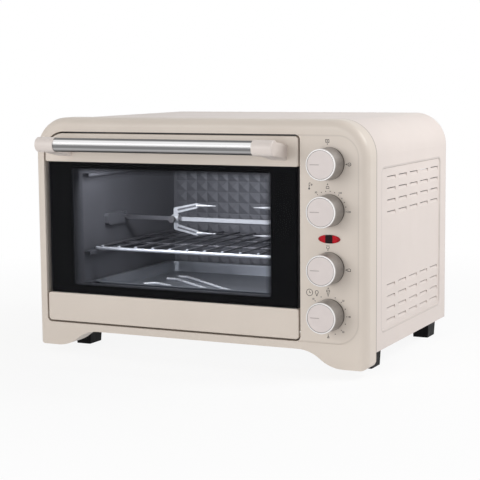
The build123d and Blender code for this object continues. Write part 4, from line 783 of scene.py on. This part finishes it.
def make_prints(material):
    outlines = [outline for symbol in SYMBOLS for outline in symbol]
    numbers = []
    for middle, radius, start, step, count, labels in SCALES:
        for mark in range(count):
            turn = math.radians(start + step * mark)
            across, up = math.cos(turn), math.sin(turn)
            if mark in labels:
                outlines += line(*((RING_X + across * r, middle + up * r)
                                   for r in (radius - TICK_HALF, radius + TICK_HALF)))
                numbers.append(digits(labels[mark], RING_X + across * (radius + DIGIT_BESIDE),
                                      middle + up * (radius + DIGIT_ABOVE)))
            else:
                outlines += disc(RING_X + across * radius, middle + up * radius, DOT_RADIUS)
    bm = bmesh.new()
    add_outlines(bm, outlines)
    for mesh in numbers:
        bm.from_mesh(mesh)
    bmesh.ops.recalc_face_normals(bm, faces=bm.faces)
    marks = bpy.data.meshes.new("panel_marks")
    bm.to_mesh(marks)
    bm.free()
    marks.materials.append(material)
    obj = bpy.data.objects.new("panel_marks", marks)
    scene.collection.objects.link(obj)
    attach(obj, "housing")


# Stage, world and lights
FLOOR_RADIUS = 14.0
# the floor glows white where it is seen, fully from the second distance on, and by this
# share up to the first, where it keeps the oven's shadow
FLOOR_GLOW = 0.88
GLOW_SPAN = (0.38, 1.2)
FILL = 0.42
AIM = (0, 0, 0.18)
LIGHTS = (
    # name, place, size, watts
    ("right_near", (0.95, 0.25, 0.95), (0.5, 0.5), 6.7),
    ("right_low", (2.4, -0.3, 0.5), (1.4, 0.8), 2.7),
    ("front_left", (-1.1, -2.4, 0.9), (1.6, 1.2), 18.8),
    ("front_low", (0.2, -2.6, 0.35), (2.0, 0.6), 10.3),
)
# the oven's own light, spread under the roof just inside the door
OVEN_LAMP_PLACE = (-0.03, FRONT_Y + 0.045, 0.29)
OVEN_LAMP_AIM = (-0.03, FRONT_Y + 0.20, 0.14)
OVEN_LAMP_SIZE = (0.30, 0.05)
OVEN_LAMP_WATTS = 0.68


def make_stage():
    bpy.ops.mesh.primitive_circle_add(vertices=96, radius=FLOOR_RADIUS, fill_type="NGON",
                                      location=(0, 0, 0))
    floor = bpy.context.object
    floor.name = "floor"
    g = new_graph("floor")
    tone = g.blend(g.span(g.noise(3.0), 0.3, 0.7), (0.90, 0.90, 0.90), (0.93, 0.93, 0.93))
    away = g.add("ShaderNodeVectorMath", operation="LENGTH")
    g.put(away.inputs[0], g.place())
    glowing = g.span(away.outputs["Value"], *GLOW_SPAN, FLOOR_GLOW, 1.0)
    lit = g.coloured("ShaderNodeBsdfDiffuse", tone)
    glow = g.add("ShaderNodeEmission")
    floor.data.materials.append(
        g.close(g.mixed(g.math("MULTIPLY", g.seen_rays(), glowing), lit, glow)))


def make_world():
    """White where it is seen, and a weaker fill for everything that it lights."""
    world = bpy.data.worlds.new("studio")
    scene.world = world
    g = Graph(world, "ShaderNodeOutputWorld")
    fill, shown = (g.coloured("ShaderNodeBackground", (1.0, 1.0, 1.0), Strength=strength)
                   for strength in (FILL, 1.0))
    g.close(g.mixed(g.seen_rays(), fill, shown))


def area_light(name, place, target, size, watts):
    data = bpy.data.lights.new(name, "AREA")
    data.shape = "RECTANGLE"
    data.size, data.size_y = size
    data.energy = watts
    lamp = bpy.data.objects.new(name, data)
    scene.collection.objects.link(lamp)
    lamp.location = place
    lamp.rotation_mode = "QUATERNION"
    lamp.rotation_quaternion = (Vector(target) - Vector(place)).to_track_quat("-Z", "Y")


def make_lights():
    for name, place, size, watts in LIGHTS:
        area_light(name, place, AIM, size, watts)
    area_light("oven_lamp", OVEN_LAMP_PLACE, OVEN_LAMP_AIM, OVEN_LAMP_SIZE, OVEN_LAMP_WATTS)


def finish_scene():
    scene.view_settings.view_transform = "Standard"
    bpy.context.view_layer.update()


make_camera()
materials = make_materials()
dress_nodes(materials)
make_prints(materials["print_ink"])
make_stage()
make_world()
make_lights()
finish_scene()
